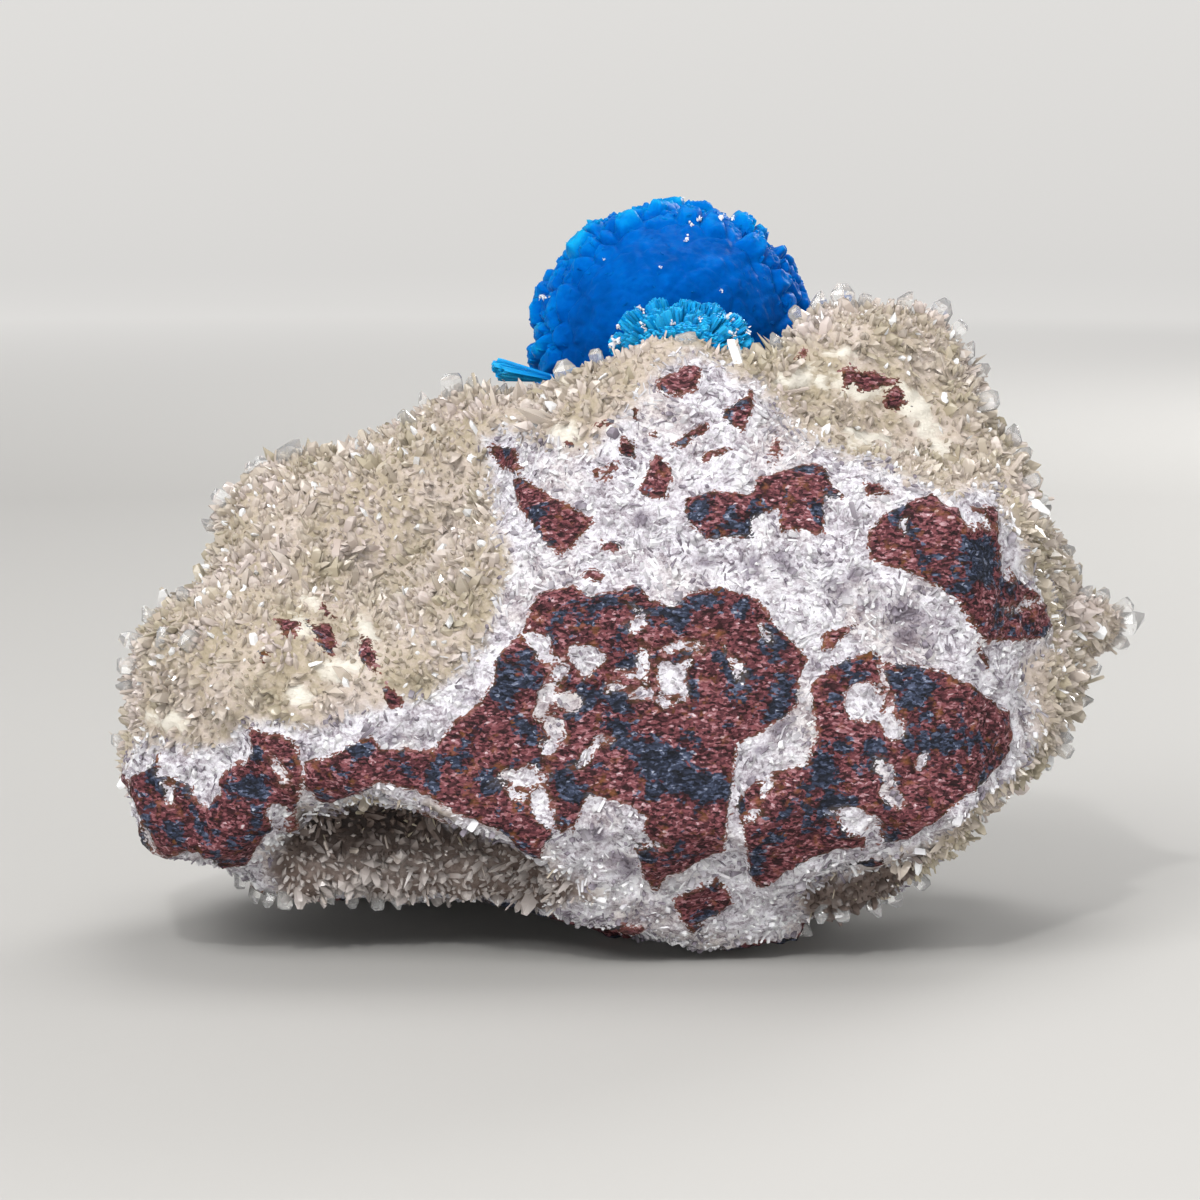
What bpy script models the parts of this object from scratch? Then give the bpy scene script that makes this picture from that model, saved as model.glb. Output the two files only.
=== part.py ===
"""A cavansite specimen: blue rosettes on a druse of stilbite that coats a lump of basalt breccia.

Metres, +Z up. The broken face of the rock looks towards -Y, and the origin is the middle of the
specimen's box at the height of the ground that it rests on. Lobes and planes are in millimetres.
"""

import math
import random
from typing import NamedTuple

import bmesh
import bpy
from mathutils import Matrix, Vector, noise

MM = 0.001

# Driving dimensions, in metres.
ROCK_GRAIN = 2.6 * MM  # facet size on the rock
DRUSE_GRAIN = 3.1 * MM  # facet size on the crystal crusts
CONTACT_ROOM = 0.5 * MM  # kept clear round a piece, so that coarse facets still miss each other
DRUSE_SWELL = 0.8 * MM  # how far a crust billows in and out
DRUSE_SWELL_SPACING = 5.0 * MM
LOBE_DETAIL = 3
CUT_MERGE = 0.0001 * MM
BUMP_TURN_SPREAD = 0.15  # radians that a bunch of blades strays round the rosette
BUMP_LOWEST_SHARE = 0.5  # height of the lowest bunch beside the highest


class Rosette(NamedTuple):
    """A ball of radiating blades: millimetres, and its bunches of blades as bumps on the ball."""

    centre: tuple
    half: tuple
    detail: int
    bumps: int
    bump_height: float
    seed: int


# The rock's body, each lobe as centre x, y, z and half-width x, y, z.
ROCK_LOBES = (
    (5, -6, 17, 21.5, 23, 17),
    (-6, -8, 17, 13, 21, 9),
    (16, -8, 18, 13, 21, 11),
    (16, -9, 25.5, 11, 15, 8),
    (3, -10, 29, 12, 6.5, 10.5),
    (5, -6, 7.5, 11, 18, 8.5),
    (-26.5, -6, 11.5, 7.5, 14, 6),
    (-16, -7, 15.5, 13, 16, 5),
    (-14, 5, 10, 14, 11, 9),
    (-2, 9, 8.5, 14, 10, 7.5),
    (-15, 13, 4, 9, 6, 6),
    (11, 12, 4, 9, 6, 6),
)

# The planes that the rock broke along, each as a point on it and the way it faces.
FRACTURES = (
    ((6, -19.5, 18), (0.02, -1.0, 0.06)),
    ((4, -17, 29), (-0.08, -0.92, 0.38)),
    ((8, -17, 6), (0.05, -0.82, -0.57)),
    ((25, -15, 18), (0.75, -0.66, 0.05)),
    ((-26, -17, 10), (-0.30, -0.94, -0.15)),
)

# Where the rock is undercut, in lobes that are taken away.
UNDERCUTS = (
    (15.5, -18, 1.5, 7, 8.5, 6),
    (-13, -18, 4.5, 9, 10, 6),
)

# The plane that the specimen rests on.
GROUND = ((0, 0, 0), (0, 0, -1))

# The stilbite crust: it caps the rock, and hangs down its sides and its back.
CRUST_LOBES = (
    (-22, -9, 18.5, 11, 10.5, 6.5),
    (-27.5, -6, 14, 6, 8.5, 5.5),
    (-20, 0, 25, 8.3, 10, 7),
    (-13, -1, 28, 8.5, 9.5, 6.7),
    (-7, -1, 30.5, 8, 9, 7),
    (3.5, -9, 36, 8.5, 4.5, 5),
    (3, -4, 34, 10, 6, 4.8),
    (3, 5, 32, 12, 10, 6),
    (15.5, -2, 36.5, 6.5, 7, 6.3),
    (19, -1, 35, 5.2, 7, 6.5),
    (22, -1, 27.5, 7, 11, 7.5),
    (15, 6, 27, 9, 9, 9),
    (23.5, 0, 21, 6.5, 11, 8),
    (24, 2, 14.5, 6.5, 9, 6),
    (20, 4, 10, 6, 8, 5),
    (30.5, 1, 20.5, 3.6, 3.6, 3.6),
    (32.4, 1, 20.8, 2.2, 2.4, 2.4),
    (-19, 9, 17, 12, 9, 9),
    (-4, 12, 20, 13, 8, 12),
    (12, 12, 17, 12, 8, 12),
)

# The crystals that line the hollow under the lower left of the broken face.
HOLLOW_LINING_LOBES = (
    (-11, -7, 7, 8.5, 7, 4.3),
    (-21, -7, 7, 7.5, 7.5, 3.8),
)

# The crystals that hang under the lower right of the broken face.
UNDERSIDE_LOBES = ((15, -9, 5, 6, 6, 3.6),)

# The tan sheaf that stands out low on the back right.
REAR_SHEAF_LOBES = ((23.5, 9, 8.5, 3.5, 5, 3.2),)

# The cavansite, which sits in the crust on top of the specimen.
LARGE_ROSETTE = Rosette((3.1, 6.5, 39.1), (9.3, 9.3, 9.3), 4, 90, 0.07, 3)
SMALL_ROSETTE = Rosette((3.7, -6, 38.2), (5.1, 2.3, 4.9), 3, 30, 0.1, 5)
SHEAF = Rosette((-6.4, -1, 36.9), (2.2, 1.4, 1.5), 3, 12, 0.12, 7)


def material(name, colour, roughness, transmission=0.0):
    """A plain finish with the colour and the sheen of one mineral."""
    finish = bpy.data.materials.new(name)
    finish.use_nodes = True
    shader = finish.node_tree.nodes["Principled BSDF"]
    shader.inputs["Base Color"].default_value = (*colour, 1.0)
    shader.inputs["Roughness"].default_value = roughness
    shader.inputs["Metallic"].default_value = 0.0
    shader.inputs["Transmission Weight"].default_value = transmission
    finish.diffuse_color = (*colour, 1.0)
    return finish


def clear_scene():
    """Removes the objects that the file opened with."""
    for old in list(bpy.data.objects):
        bpy.data.objects.remove(old, do_unlink=True)


def add_object(name, bm, finish=None):
    """Makes an object from a bmesh, which it frees."""
    mesh = bpy.data.meshes.new(name)
    bm.to_mesh(mesh)
    bm.free()
    piece = bpy.data.objects.new(name, mesh)
    if finish:
        mesh.materials.append(finish)
    bpy.context.scene.collection.objects.link(piece)
    return piece


def as_evaluated(piece):
    """A bmesh of the piece with its modifiers applied. The piece itself is removed."""
    graph = bpy.context.evaluated_depsgraph_get()
    bm = bmesh.new()
    bm.from_object(piece, graph)
    bpy.data.objects.remove(piece, do_unlink=True)
    return bm


def as_cutter(piece):
    """Hides a piece that is only there to cut its neighbours."""
    piece.hide_render = True
    piece.display_type = "WIRE"
    return piece


def joined_lobes(lobes, growth):
    """A bmesh with all the lobes in it, each grown by the growth."""
    bm = bmesh.new()
    for x, y, z, *half in lobes:
        centre = Vector((x, y, z)) * MM
        grown_half = Vector([width * MM + growth for width in half])
        place = Matrix.LocRotScale(centre, None, grown_half)
        bmesh.ops.create_icosphere(bm, subdivisions=LOBE_DETAIL, radius=1.0, matrix=place)
    return bm


def united_lobes(lobes, grain, growth):
    """One skin round all the lobes, with facets of about the grain's size."""
    lumps = add_object("lumps", joined_lobes(lobes, growth))
    skin = lumps.modifiers.new("Skin", "REMESH")
    skin.mode = "VOXEL"
    skin.voxel_size = grain
    return as_evaluated(lumps)


def break_along(bm, point, facing):
    """Cuts away what lies beyond a plane and closes the cut with one flat face."""
    cut = bmesh.ops.bisect_plane(
        bm,
        geom=bm.verts[:] + bm.edges[:] + bm.faces[:],
        plane_co=point,
        plane_no=facing,
        dist=CUT_MERGE,
        clear_outer=True,
    )
    rim = [part for part in cut["geom_cut"] if isinstance(part, bmesh.types.BMEdge)]
    bmesh.ops.holes_fill(bm, edges=rim, sides=0)


def linked_bodies(bm):
    """The sets of faces that join edge to edge, smallest first."""
    unseen = set(bm.faces)
    bodies = []
    while unseen:
        to_visit = [unseen.pop()]
        body = set(to_visit)
        while to_visit:
            edges = to_visit.pop().edges
            fresh = {face for edge in edges for face in edge.link_faces} & unseen
            unseen -= fresh
            body |= fresh
            to_visit.extend(fresh)
        bodies.append(body)
    return sorted(bodies, key=len)


def cut_back(piece, cutters):
    """Takes the room of each cutter out of the piece, and keeps its one main body."""
    for cutter in cutters:
        room = piece.modifiers.new(cutter.name, "BOOLEAN")
        room.operation = "DIFFERENCE"
        room.solver = "EXACT"
        room.object = cutter
    name = piece.name
    finish = piece.data.materials[0]
    bm = as_evaluated(piece)
    crumbs = [face for body in linked_bodies(bm)[:-1] for face in body]
    bmesh.ops.delete(bm, geom=crumbs, context="FACES")
    return add_object(name, bm, finish)


def basalt(name, finish, growth=0.0):
    """The lump of basalt breccia, broken along its fractures, undercut, and flat where it rests."""
    bm = united_lobes(ROCK_LOBES, ROCK_GRAIN, growth)
    for point, facing in (*FRACTURES, GROUND):
        outward = Vector(facing).normalized()
        break_along(bm, Vector(point) * MM + outward * growth, outward)
    rock = add_object(name, bm, finish)
    undercuts = add_object(name + "_undercuts", joined_lobes(UNDERCUTS, -growth))
    return cut_back(rock, [as_cutter(undercuts)])


def druse(name, lobes, finish, growth=0.0):
    """A crust of crystals grown together over the lobes, billowing a little."""
    bm = united_lobes(lobes, DRUSE_GRAIN, growth)
    bm.normal_update()
    for vert in bm.verts:
        vert.co += vert.normal * DRUSE_SWELL * noise.noise(vert.co / DRUSE_SWELL_SPACING)
    return add_object(name, bm, finish)


def rosette(name, shape, finish, growth=0.0):
    """A ball of blades that ends in blocky bunches, each a bump on its skin."""
    spread = random.Random(shape.seed)
    golden_angle = math.pi * (3 - math.sqrt(5))
    tops = []
    for index in range(shape.bumps):
        level = 1 - 2 * (index + 0.5) / shape.bumps
        turn = golden_angle * index + spread.uniform(-BUMP_TURN_SPREAD, BUMP_TURN_SPREAD)
        ring = math.sqrt(1 - level * level)
        top = Vector((ring * math.cos(turn), ring * math.sin(turn), level))
        tops.append((top, spread.uniform(BUMP_LOWEST_SHARE, 1.0)))
    bm = bmesh.new()
    bmesh.ops.create_icosphere(bm, subdivisions=shape.detail, radius=1.0)
    bump_radius = 2 / math.sqrt(shape.bumps)
    for vert in bm.verts:
        top, share = max(tops, key=lambda bump: bump[0].dot(vert.co))
        away = top.angle(vert.co) / bump_radius
        vert.co *= 1 + shape.bump_height * share * max(0.0, 1 - away * away)
    half = Vector([width * MM + growth for width in shape.half])
    place = Matrix.LocRotScale(Vector(shape.centre) * MM, None, half)
    bmesh.ops.transform(bm, matrix=place, verts=bm.verts[:])
    return add_object(name, bm, finish)


def build():
    """Makes every piece, each one cut back from those that it grows against."""
    clear_scene()
    maroon = material("basalt", (0.13, 0.06, 0.06), 0.8)
    cream = material("stilbite", (0.53, 0.46, 0.39), 0.35, 0.3)
    tan = material("stilbite_tan", (0.55, 0.38, 0.25), 0.4, 0.2)
    blue = material("cavansite", (0.0, 0.12, 0.5), 0.35)
    bright_blue = material("cavansite_bright", (0.0, 0.22, 0.65), 0.3)
    basalt("basalt_matrix", maroon)
    rock_room = as_cutter(basalt("rock_room", maroon, CONTACT_ROOM))
    crust_room = as_cutter(druse("crust_room", CRUST_LOBES, cream, CONTACT_ROOM))
    rosette_rooms = []
    for name, shape, finish in (
        ("cavansite_rosette_large", LARGE_ROSETTE, blue),
        ("cavansite_rosette_small", SMALL_ROSETTE, bright_blue),
        ("cavansite_sheaf", SHEAF, bright_blue),
    ):
        cut_back(rosette(name, shape, finish), [rock_room])
        rosette_rooms.append(as_cutter(rosette(name + "_room", shape, finish, CONTACT_ROOM)))
    cut_back(druse("stilbite_crust", CRUST_LOBES, cream), [rock_room, *rosette_rooms])
    for name, lobes, finish in (
        ("stilbite_hollow_lining", HOLLOW_LINING_LOBES, cream),
        ("stilbite_underside", UNDERSIDE_LOBES, cream),
        ("stilbite_rear_sheaf", REAR_SHEAF_LOBES, tan),
    ):
        cut_back(druse(name, lobes, finish), [rock_room, crust_room])


build()
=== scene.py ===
"""The looks of a cavansite specimen: blue rosettes on a stilbite druse that coats a broken basalt breccia.

Metres, +Z up, with the broken face of the rock towards -Y. The CAD model gives each piece its place
and its bulk. Here each bulk gets an even skin with the relief of rock or druse, thousands of crystals
grow out of the druse, and blades make up the rosettes. What lies where on the broken face is told by
outlines in the picture's own pixels, carried onto the rock along the camera's lines of sight.
"""

import logging
import math
from dataclasses import dataclass
from enum import Enum
from typing import NamedTuple, Optional, Sequence

import bmesh
import bpy
import numpy as np
from mathutils import Matrix, Vector, noise
from mathutils.bvhtree import BVHTree
from mathutils.kdtree import KDTree


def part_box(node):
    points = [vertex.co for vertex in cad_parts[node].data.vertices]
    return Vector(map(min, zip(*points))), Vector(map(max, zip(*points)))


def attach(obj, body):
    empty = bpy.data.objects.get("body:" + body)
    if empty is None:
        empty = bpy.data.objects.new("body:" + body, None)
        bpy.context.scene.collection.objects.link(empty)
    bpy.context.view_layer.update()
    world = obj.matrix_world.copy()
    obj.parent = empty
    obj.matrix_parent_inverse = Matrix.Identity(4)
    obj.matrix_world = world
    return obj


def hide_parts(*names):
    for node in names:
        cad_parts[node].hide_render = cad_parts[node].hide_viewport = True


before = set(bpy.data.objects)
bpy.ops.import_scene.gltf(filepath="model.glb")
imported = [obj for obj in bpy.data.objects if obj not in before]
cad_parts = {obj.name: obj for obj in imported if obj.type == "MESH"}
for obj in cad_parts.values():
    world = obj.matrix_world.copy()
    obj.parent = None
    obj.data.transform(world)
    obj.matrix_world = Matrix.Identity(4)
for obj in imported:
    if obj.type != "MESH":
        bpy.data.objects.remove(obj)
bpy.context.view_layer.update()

MM = 0.001
LOG = logging.getLogger("cavansite")
PICTURE_SIDE = 1200  # pixels of the square picture
PIECE_TRIANGLES = 180_000  # a joined piece stays under this
PLACES_TRIED = 3.0  # how many random places are tried for each that fits
LIT_PLACE = (0, 0, 0.02)  # where the lamps point
FAR_OUTSIDE = 3.0  # millimetres out of the zones that are only told by the picture, where it doesn't show

Tree = bpy.types.NodeTree
Socket = bpy.types.NodeSocket
Piece = bpy.types.Object
Stops = tuple[tuple[float, str], ...]


def linear(colour: str) -> tuple[float, float, float, float]:
    """Turns an sRGB hex colour into the linear one that a shader takes.

    Args:
        colour: the colour as "#rrggbb".

    Returns:
        Red, green, blue and full alpha, linear.
    """
    shares = [int(colour[start:start + 2], 16) / 255 for start in (1, 3, 5)]
    red, green, blue = [s / 12.92 if s <= 0.04045 else ((s + 0.055) / 1.055) ** 2.4 for s in shares]
    return red, green, blue, 1.0


def per_metre(size_mm: float) -> float:
    """The scale of a noise whose features are about this many millimetres apart."""
    return 1000.0 / size_mm


def smooth_step(low: float, high: float, value: np.ndarray) -> np.ndarray:
    """Rises smoothly from 0 at low to 1 at high."""
    share = np.clip((value - low) / (high - low), 0.0, 1.0)
    return share * share * (3 - 2 * share)


def noise_at(points: np.ndarray, size: float, octaves: int = 1, seed: int = 0) -> np.ndarray:
    """Reads a smooth random field at many points.

    Args:
        points: places in metres, one a row.
        size: distance between the field's lumps, in metres.
        octaves: how many finer layers are added.
        seed: which field of the many.

    Returns:
        One value for each point, about -1 to 1.
    """
    shift = Vector((17.3, 5.1, 9.7)) * seed
    if octaves == 1:
        return np.array([noise.noise(Vector(place) + shift) for place in points / size])
    return np.array([noise.fractal(Vector(place) + shift, 0.9, 2.0, octaves) for place in points / size])


def unit(vectors: np.ndarray) -> np.ndarray:
    """The vectors, one a row, each made one long."""
    return vectors / np.maximum(np.linalg.norm(vectors, axis=1, keepdims=True), 1e-12)


def in_scene(name: str, data: bpy.types.ID) -> bpy.types.Object:
    """Puts a mesh, a lamp or a camera in the scene, as an object of that name."""
    made = bpy.data.objects.new(name, data)
    bpy.context.scene.collection.objects.link(made)
    return made


def finished(name: str, bm: bmesh.types.BMesh) -> bpy.types.Object:
    """Turns a bmesh that is done with into an object in the scene.

    Args:
        name: the object's name.
        bm: the bmesh, which is freed.

    Returns:
        The object.
    """
    mesh = bpy.data.meshes.new(name)
    bm.to_mesh(mesh)
    bm.free()
    return in_scene(name, mesh)


class Spot(NamedTuple):
    """A patch in the picture: its middle, half-length and half-width in pixels, and its tilt in degrees."""

    x: float
    y: float
    half_length: float
    half_width: float
    tilt: float = 0.0


def rows(kind: type, *numbers: Sequence[float]) -> tuple:
    """Makes each plain row of numbers a thing of that kind."""
    return tuple(kind(*row) for row in numbers)


@dataclass(frozen=True)
class Viewpoint:
    """Where the specimen is seen from: nearly level, through a long lens."""

    elevation: float = math.radians(7.0)
    lens_mm: float = 135.0
    sensor_mm: float = 36.0
    frame_width: float = 80 * MM  # what the picture takes in at the specimen's middle
    middle: tuple[float, float, float] = (-1.67 * MM, -3.0 * MM, 22.5 * MM)

    @property
    def back(self) -> Vector:
        """The direction from the specimen to the camera."""
        return Vector((0, -math.cos(self.elevation), math.sin(self.elevation)))

    @property
    def place(self) -> Vector:
        """Where the camera stands."""
        return Vector(self.middle) + self.back * (self.frame_width * self.lens_mm / self.sensor_mm)

    @property
    def pixel(self) -> float:
        """The size of one of the picture's pixels at the specimen's middle."""
        return self.frame_width / PICTURE_SIDE

    def set_up(self) -> None:
        """Makes the camera and gives it to the scene."""
        camera = bpy.data.cameras.new("camera")
        camera.lens = self.lens_mm
        camera.sensor_width = self.sensor_mm
        camera.clip_start = 0.01
        camera.clip_end = 20.0
        stand = in_scene("camera", camera)
        stand.location = self.place
        stand.rotation_euler = (-self.back).to_track_quat("-Z", "Y").to_euler()
        bpy.context.scene.camera = stand

    def to_picture(self, points: np.ndarray) -> np.ndarray:
        """Where points show in the picture.

        Args:
            points: places in metres, one a row.

        Returns:
            Pixels across and down, one a row.
        """
        back = np.array(self.back)
        up = np.array((0, math.sin(self.elevation), math.cos(self.elevation)))
        away = points - np.array(self.place)
        depth = -(away @ back)
        focal = PICTURE_SIDE * self.lens_mm / self.sensor_mm
        across = PICTURE_SIDE / 2 + focal * away[:, 0] / depth
        down = PICTURE_SIDE / 2 - focal * (away @ up) / depth
        return np.stack([across, down], axis=1)

    def line_of_sight(self, across: float, down: float) -> Vector:
        """The direction from the camera through a pixel.

        Args:
            across: the pixel, from the picture's left.
            down: and from its top.

        Returns:
            The direction, of length 1.
        """
        focal = PICTURE_SIDE * self.lens_mm / self.sensor_mm
        up = Vector((0, math.sin(self.elevation), math.cos(self.elevation)))
        aside = Vector(((across - PICTURE_SIDE / 2) / focal, 0, 0))
        return (aside - up * ((down - PICTURE_SIDE / 2) / focal) - self.back).normalized()

    def faced(self, points: np.ndarray, normals: np.ndarray) -> np.ndarray:
        """How squarely each place faces the camera, 1 straight at it and negative when turned away."""
        return (unit(np.array(self.place) - points) * normals).sum(axis=1)


VIEW = Viewpoint()


def inside_outline(pixels: np.ndarray, outline: Sequence[tuple[float, float]]) -> np.ndarray:
    """How deep points lie inside an outline.

    Args:
        pixels: places in the picture, one a row.
        outline: the outline's corners in pixels.

    Returns:
        The distance to the outline in pixels, negative outside it.
    """
    nearest = np.full(len(pixels), np.inf)
    inside = np.zeros(len(pixels), bool)
    corners = np.array(outline, float)
    for start, end in zip(corners, np.roll(corners, -1, axis=0)):
        edge = end - start
        away = pixels - start
        along = np.clip(away @ edge / (edge @ edge), 0, 1)
        nearest = np.minimum(nearest, np.linalg.norm(away - along[:, None] * edge, axis=1))
        level = (start[1] > pixels[:, 1]) != (end[1] > pixels[:, 1])
        rise = edge[1] if edge[1] else 1e-9
        inside ^= level & (pixels[:, 0] < start[0] + (pixels[:, 1] - start[1]) * edge[0] / rise)
    return np.where(inside, nearest, -nearest)


def inside_spot(pixels: np.ndarray, spot: Spot) -> np.ndarray:
    """How deep points lie inside a spot.

    Args:
        pixels: places in the picture, one a row.
        spot: the spot.

    Returns:
        The depth in pixels, negative outside it.
    """
    turn = math.radians(spot.tilt)
    away = pixels - (spot.x, spot.y)
    along = away @ (math.cos(turn), math.sin(turn)) / spot.half_length
    aside = away @ (-math.sin(turn), math.cos(turn)) / spot.half_width
    return (1 - np.hypot(along, aside)) * min(spot.half_length, spot.half_width)


# The broken face, outside which druse covers the rock.
BARE_FACE = (
    (100, 752), (150, 738), (205, 752), (232, 738), (250, 722), (300, 728), (350, 716), (395, 700),
    (430, 694), (462, 672), (486, 640), (498, 600), (508, 565), (500, 520), (488, 480), (480, 440),
    (510, 432), (548, 444), (590, 452), (618, 428), (640, 398), (655, 372), (690, 356), (715, 360),
    (738, 380), (762, 384), (790, 420), (830, 446), (862, 462), (900, 474), (950, 492), (992, 492),
    (1008, 520), (1022, 556), (1048, 585), (1066, 625), (1052, 652), (1020, 668), (1035, 705),
    (1036, 750), (1010, 790), (975, 820), (940, 850), (900, 868), (850, 870), (805, 890), (800, 945),
    (700, 985), (600, 960), (480, 930), (380, 920), (260, 915), (180, 900), (110, 860), (90, 790),
)

# The outline of the lump with its crystals, without the rosettes.
SILHOUETTE = (
    (118, 760), (120, 678), (132, 640), (160, 604), (200, 582), (213, 560), (208, 520), (220, 480),
    (240, 459), (300, 448), (340, 447), (380, 425), (404, 418), (440, 383), (480, 387), (496, 394),
    (520, 390), (548, 378), (600, 362), (622, 354), (655, 336), (684, 330), (715, 334), (745, 350),
    (765, 350), (780, 338), (800, 318), (820, 305), (840, 300), (880, 304), (900, 296), (940, 303),
    (960, 338), (980, 368), (986, 400), (978, 425), (1000, 433), (1020, 435), (1030, 470), (1040, 498),
    (1060, 532), (1068, 570), (1071, 594), (1080, 589), (1100, 594), (1125, 600), (1136, 625), (1120, 645),
    (1100, 652), (1086, 680), (1080, 719), (1060, 751), (1040, 762), (1018, 784), (986, 800), (970, 826),
    (960, 846), (940, 862), (900, 903), (880, 906), (840, 916), (820, 919), (800, 932), (780, 943),
    (740, 951), (700, 953), (640, 938), (600, 928), (560, 918), (520, 909), (480, 901), (440, 898),
    (380, 904), (340, 897), (300, 895), (240, 895), (200, 880), (160, 856), (130, 815), (120, 795),
)

# Places under the broken face where druse grows again.
LINED_HOLLOWS = (
    ((300, 808), (370, 797), (430, 810), (500, 840), (560, 868), (600, 898), (540, 912), (420, 915),
     (300, 908), (262, 872)),
    ((800, 884), (860, 866), (925, 856), (935, 880), (880, 910), (830, 930), (800, 918)),
)

# The basalt clasts of the broken face.
CLASTS = (
    ((508, 476), (518, 475), (596, 520), (559, 558), (537, 531), (518, 508)),
    ((487, 446), (515, 446), (515, 470), (500, 467)),
    ((657, 382), (689, 366), (702, 368), (698, 390), (678, 398), (658, 393)),
    ((722, 408), (755, 390), (751, 417), (744, 433), (722, 417)),
    ((667, 446), (707, 420), (711, 428), (684, 445)),
    ((700, 452), (736, 445), (704, 464)),
    ((656, 452), (673, 472), (666, 502), (636, 493)),
    ((685, 496), (719, 492), (751, 496), (758, 476), (818, 462), (846, 498), (824, 496), (824, 533),
     (780, 531), (777, 508), (754, 522), (751, 538), (708, 541), (688, 522)),
    ((862, 478), (896, 496), (868, 496)),
    ((867, 530), (890, 510), (931, 490), (949, 506), (997, 508), (999, 536), (1012, 576), (1039, 596),
     (1054, 626), (1042, 639), (979, 642), (956, 603), (939, 589), (906, 570), (870, 560)),
    ((971, 642), (986, 656), (984, 672)),
    ((820, 634), (861, 622), (825, 654)),
    ((541, 595), (574, 585), (590, 598), (638, 585), (654, 600), (676, 608), (689, 592), (721, 587),
     (759, 600), (780, 630), (812, 659), (799, 678), (798, 706), (762, 731), (737, 745), (729, 801),
     (724, 852), (688, 868), (670, 876), (655, 892), (644, 880), (634, 843), (648, 815), (620, 802),
     (587, 793), (571, 841), (555, 828), (542, 857), (533, 857), (494, 828), (440, 806), (418, 793),
     (377, 780), (357, 793), (329, 800), (306, 786), (306, 761), (335, 752), (373, 734), (380, 748),
     (431, 752), (453, 723), (480, 702), (494, 681), (496, 659), (512, 640), (526, 624)),
    ((810, 683), (830, 666), (870, 651), (890, 662), (949, 672), (1012, 715), (1009, 755), (986, 782),
     (906, 845), (833, 851), (794, 863), (759, 892), (748, 873), (745, 844), (735, 801), (751, 782),
     (807, 764), (817, 735), (811, 703)),
    ((248, 728), (259, 727), (268, 736), (274, 733), (294, 740), (304, 766), (304, 779), (293, 811),
     (297, 820), (288, 826), (268, 826), (254, 851), (244, 871), (231, 869), (198, 854), (166, 852),
     (150, 832), (138, 812), (124, 780), (137, 770), (150, 766), (157, 751), (161, 751), (154, 776),
     (176, 780), (190, 790), (190, 799), (207, 808), (213, 796), (222, 796), (218, 782), (230, 765),
     (245, 762), (253, 751)),
    ((672, 903), (716, 879), (735, 905), (692, 935)),
    ((593, 924), (649, 922), (638, 935)),
    ((581, 578), (592, 566), (606, 575), (601, 584)),
    ((600, 537), (620, 545), (618, 552), (602, 550)),
    ((628, 405), (638, 410), (636, 428)),
)

# Chips of basalt that show among the zeolite above the broken face.
ROCK_CHIPS = rows(
    Spot,
    (573, 448, 9, 4, 20), (605, 429, 8, 4, -20), (630, 447, 13, 8, 60), (610, 471, 9, 4, -50),
    (596, 476, 4, 7, 10), (652, 436, 5, 4, 0), (770, 462, 7, 3, 20), (778, 447, 4, 8, 10),
)

# Chips of basalt that the druse has grown round.
DRUSE_CHIPS = rows(
    Spot,
    (288, 630, 14, 9, 40), (324, 640, 22, 10, 60), (373, 660, 24, 7, 65), (390, 697, 10, 9, 30),
    (261, 662, 8, 5, 60), (328, 609, 7, 5, 40), (868, 381, 28, 8, 12), (893, 401, 14, 9, 50),
    (845, 381, 8, 7, 0), (800, 360, 4, 4, 0),
)

# Milky places in the druse where no crystals grew free.
MILKY_PLACES = rows(
    Spot,
    (852, 384, 32, 11, 10), (915, 412, 36, 12, 45), (800, 378, 16, 7, -10), (842, 354, 14, 5, 0),
    (172, 722, 18, 8, 15), (297, 698, 15, 9, 10), (345, 672, 18, 9, -10), (310, 598, 9, 6, 0),
    (300, 628, 15, 12, 30), (566, 436, 16, 10, 0), (530, 412, 12, 8, 0), (370, 640, 12, 26, -20),
    (940, 440, 20, 8, 30), (870, 440, 30, 8, 5),
)

# Grey glassy clusters in the cement, with laths fanned round them.
CLUSTERS = rows(
    Spot,
    (907, 611, 15, 11, 10), (905, 638, 14, 10, 0), (832, 588, 16, 8, 20), (752, 568, 10, 8, 0),
    (872, 605, 9, 7, 0), (940, 618, 8, 6, 30), (860, 575, 8, 5, 0), (780, 560, 8, 6, 0),
    (762, 478, 8, 5, 0), (700, 560, 9, 5, 0), (640, 520, 8, 6, 0), (470, 700, 9, 6, 0),
    (395, 738, 10, 5, 0), (555, 520, 6, 5, 0), (780, 730, 12, 7, -35), (765, 748, 9, 6, -35),
    (625, 865, 18, 7, 15), (600, 838, 8, 10, 0), (330, 722, 9, 4, 0), (930, 640, 9, 5, 40),
)

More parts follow.
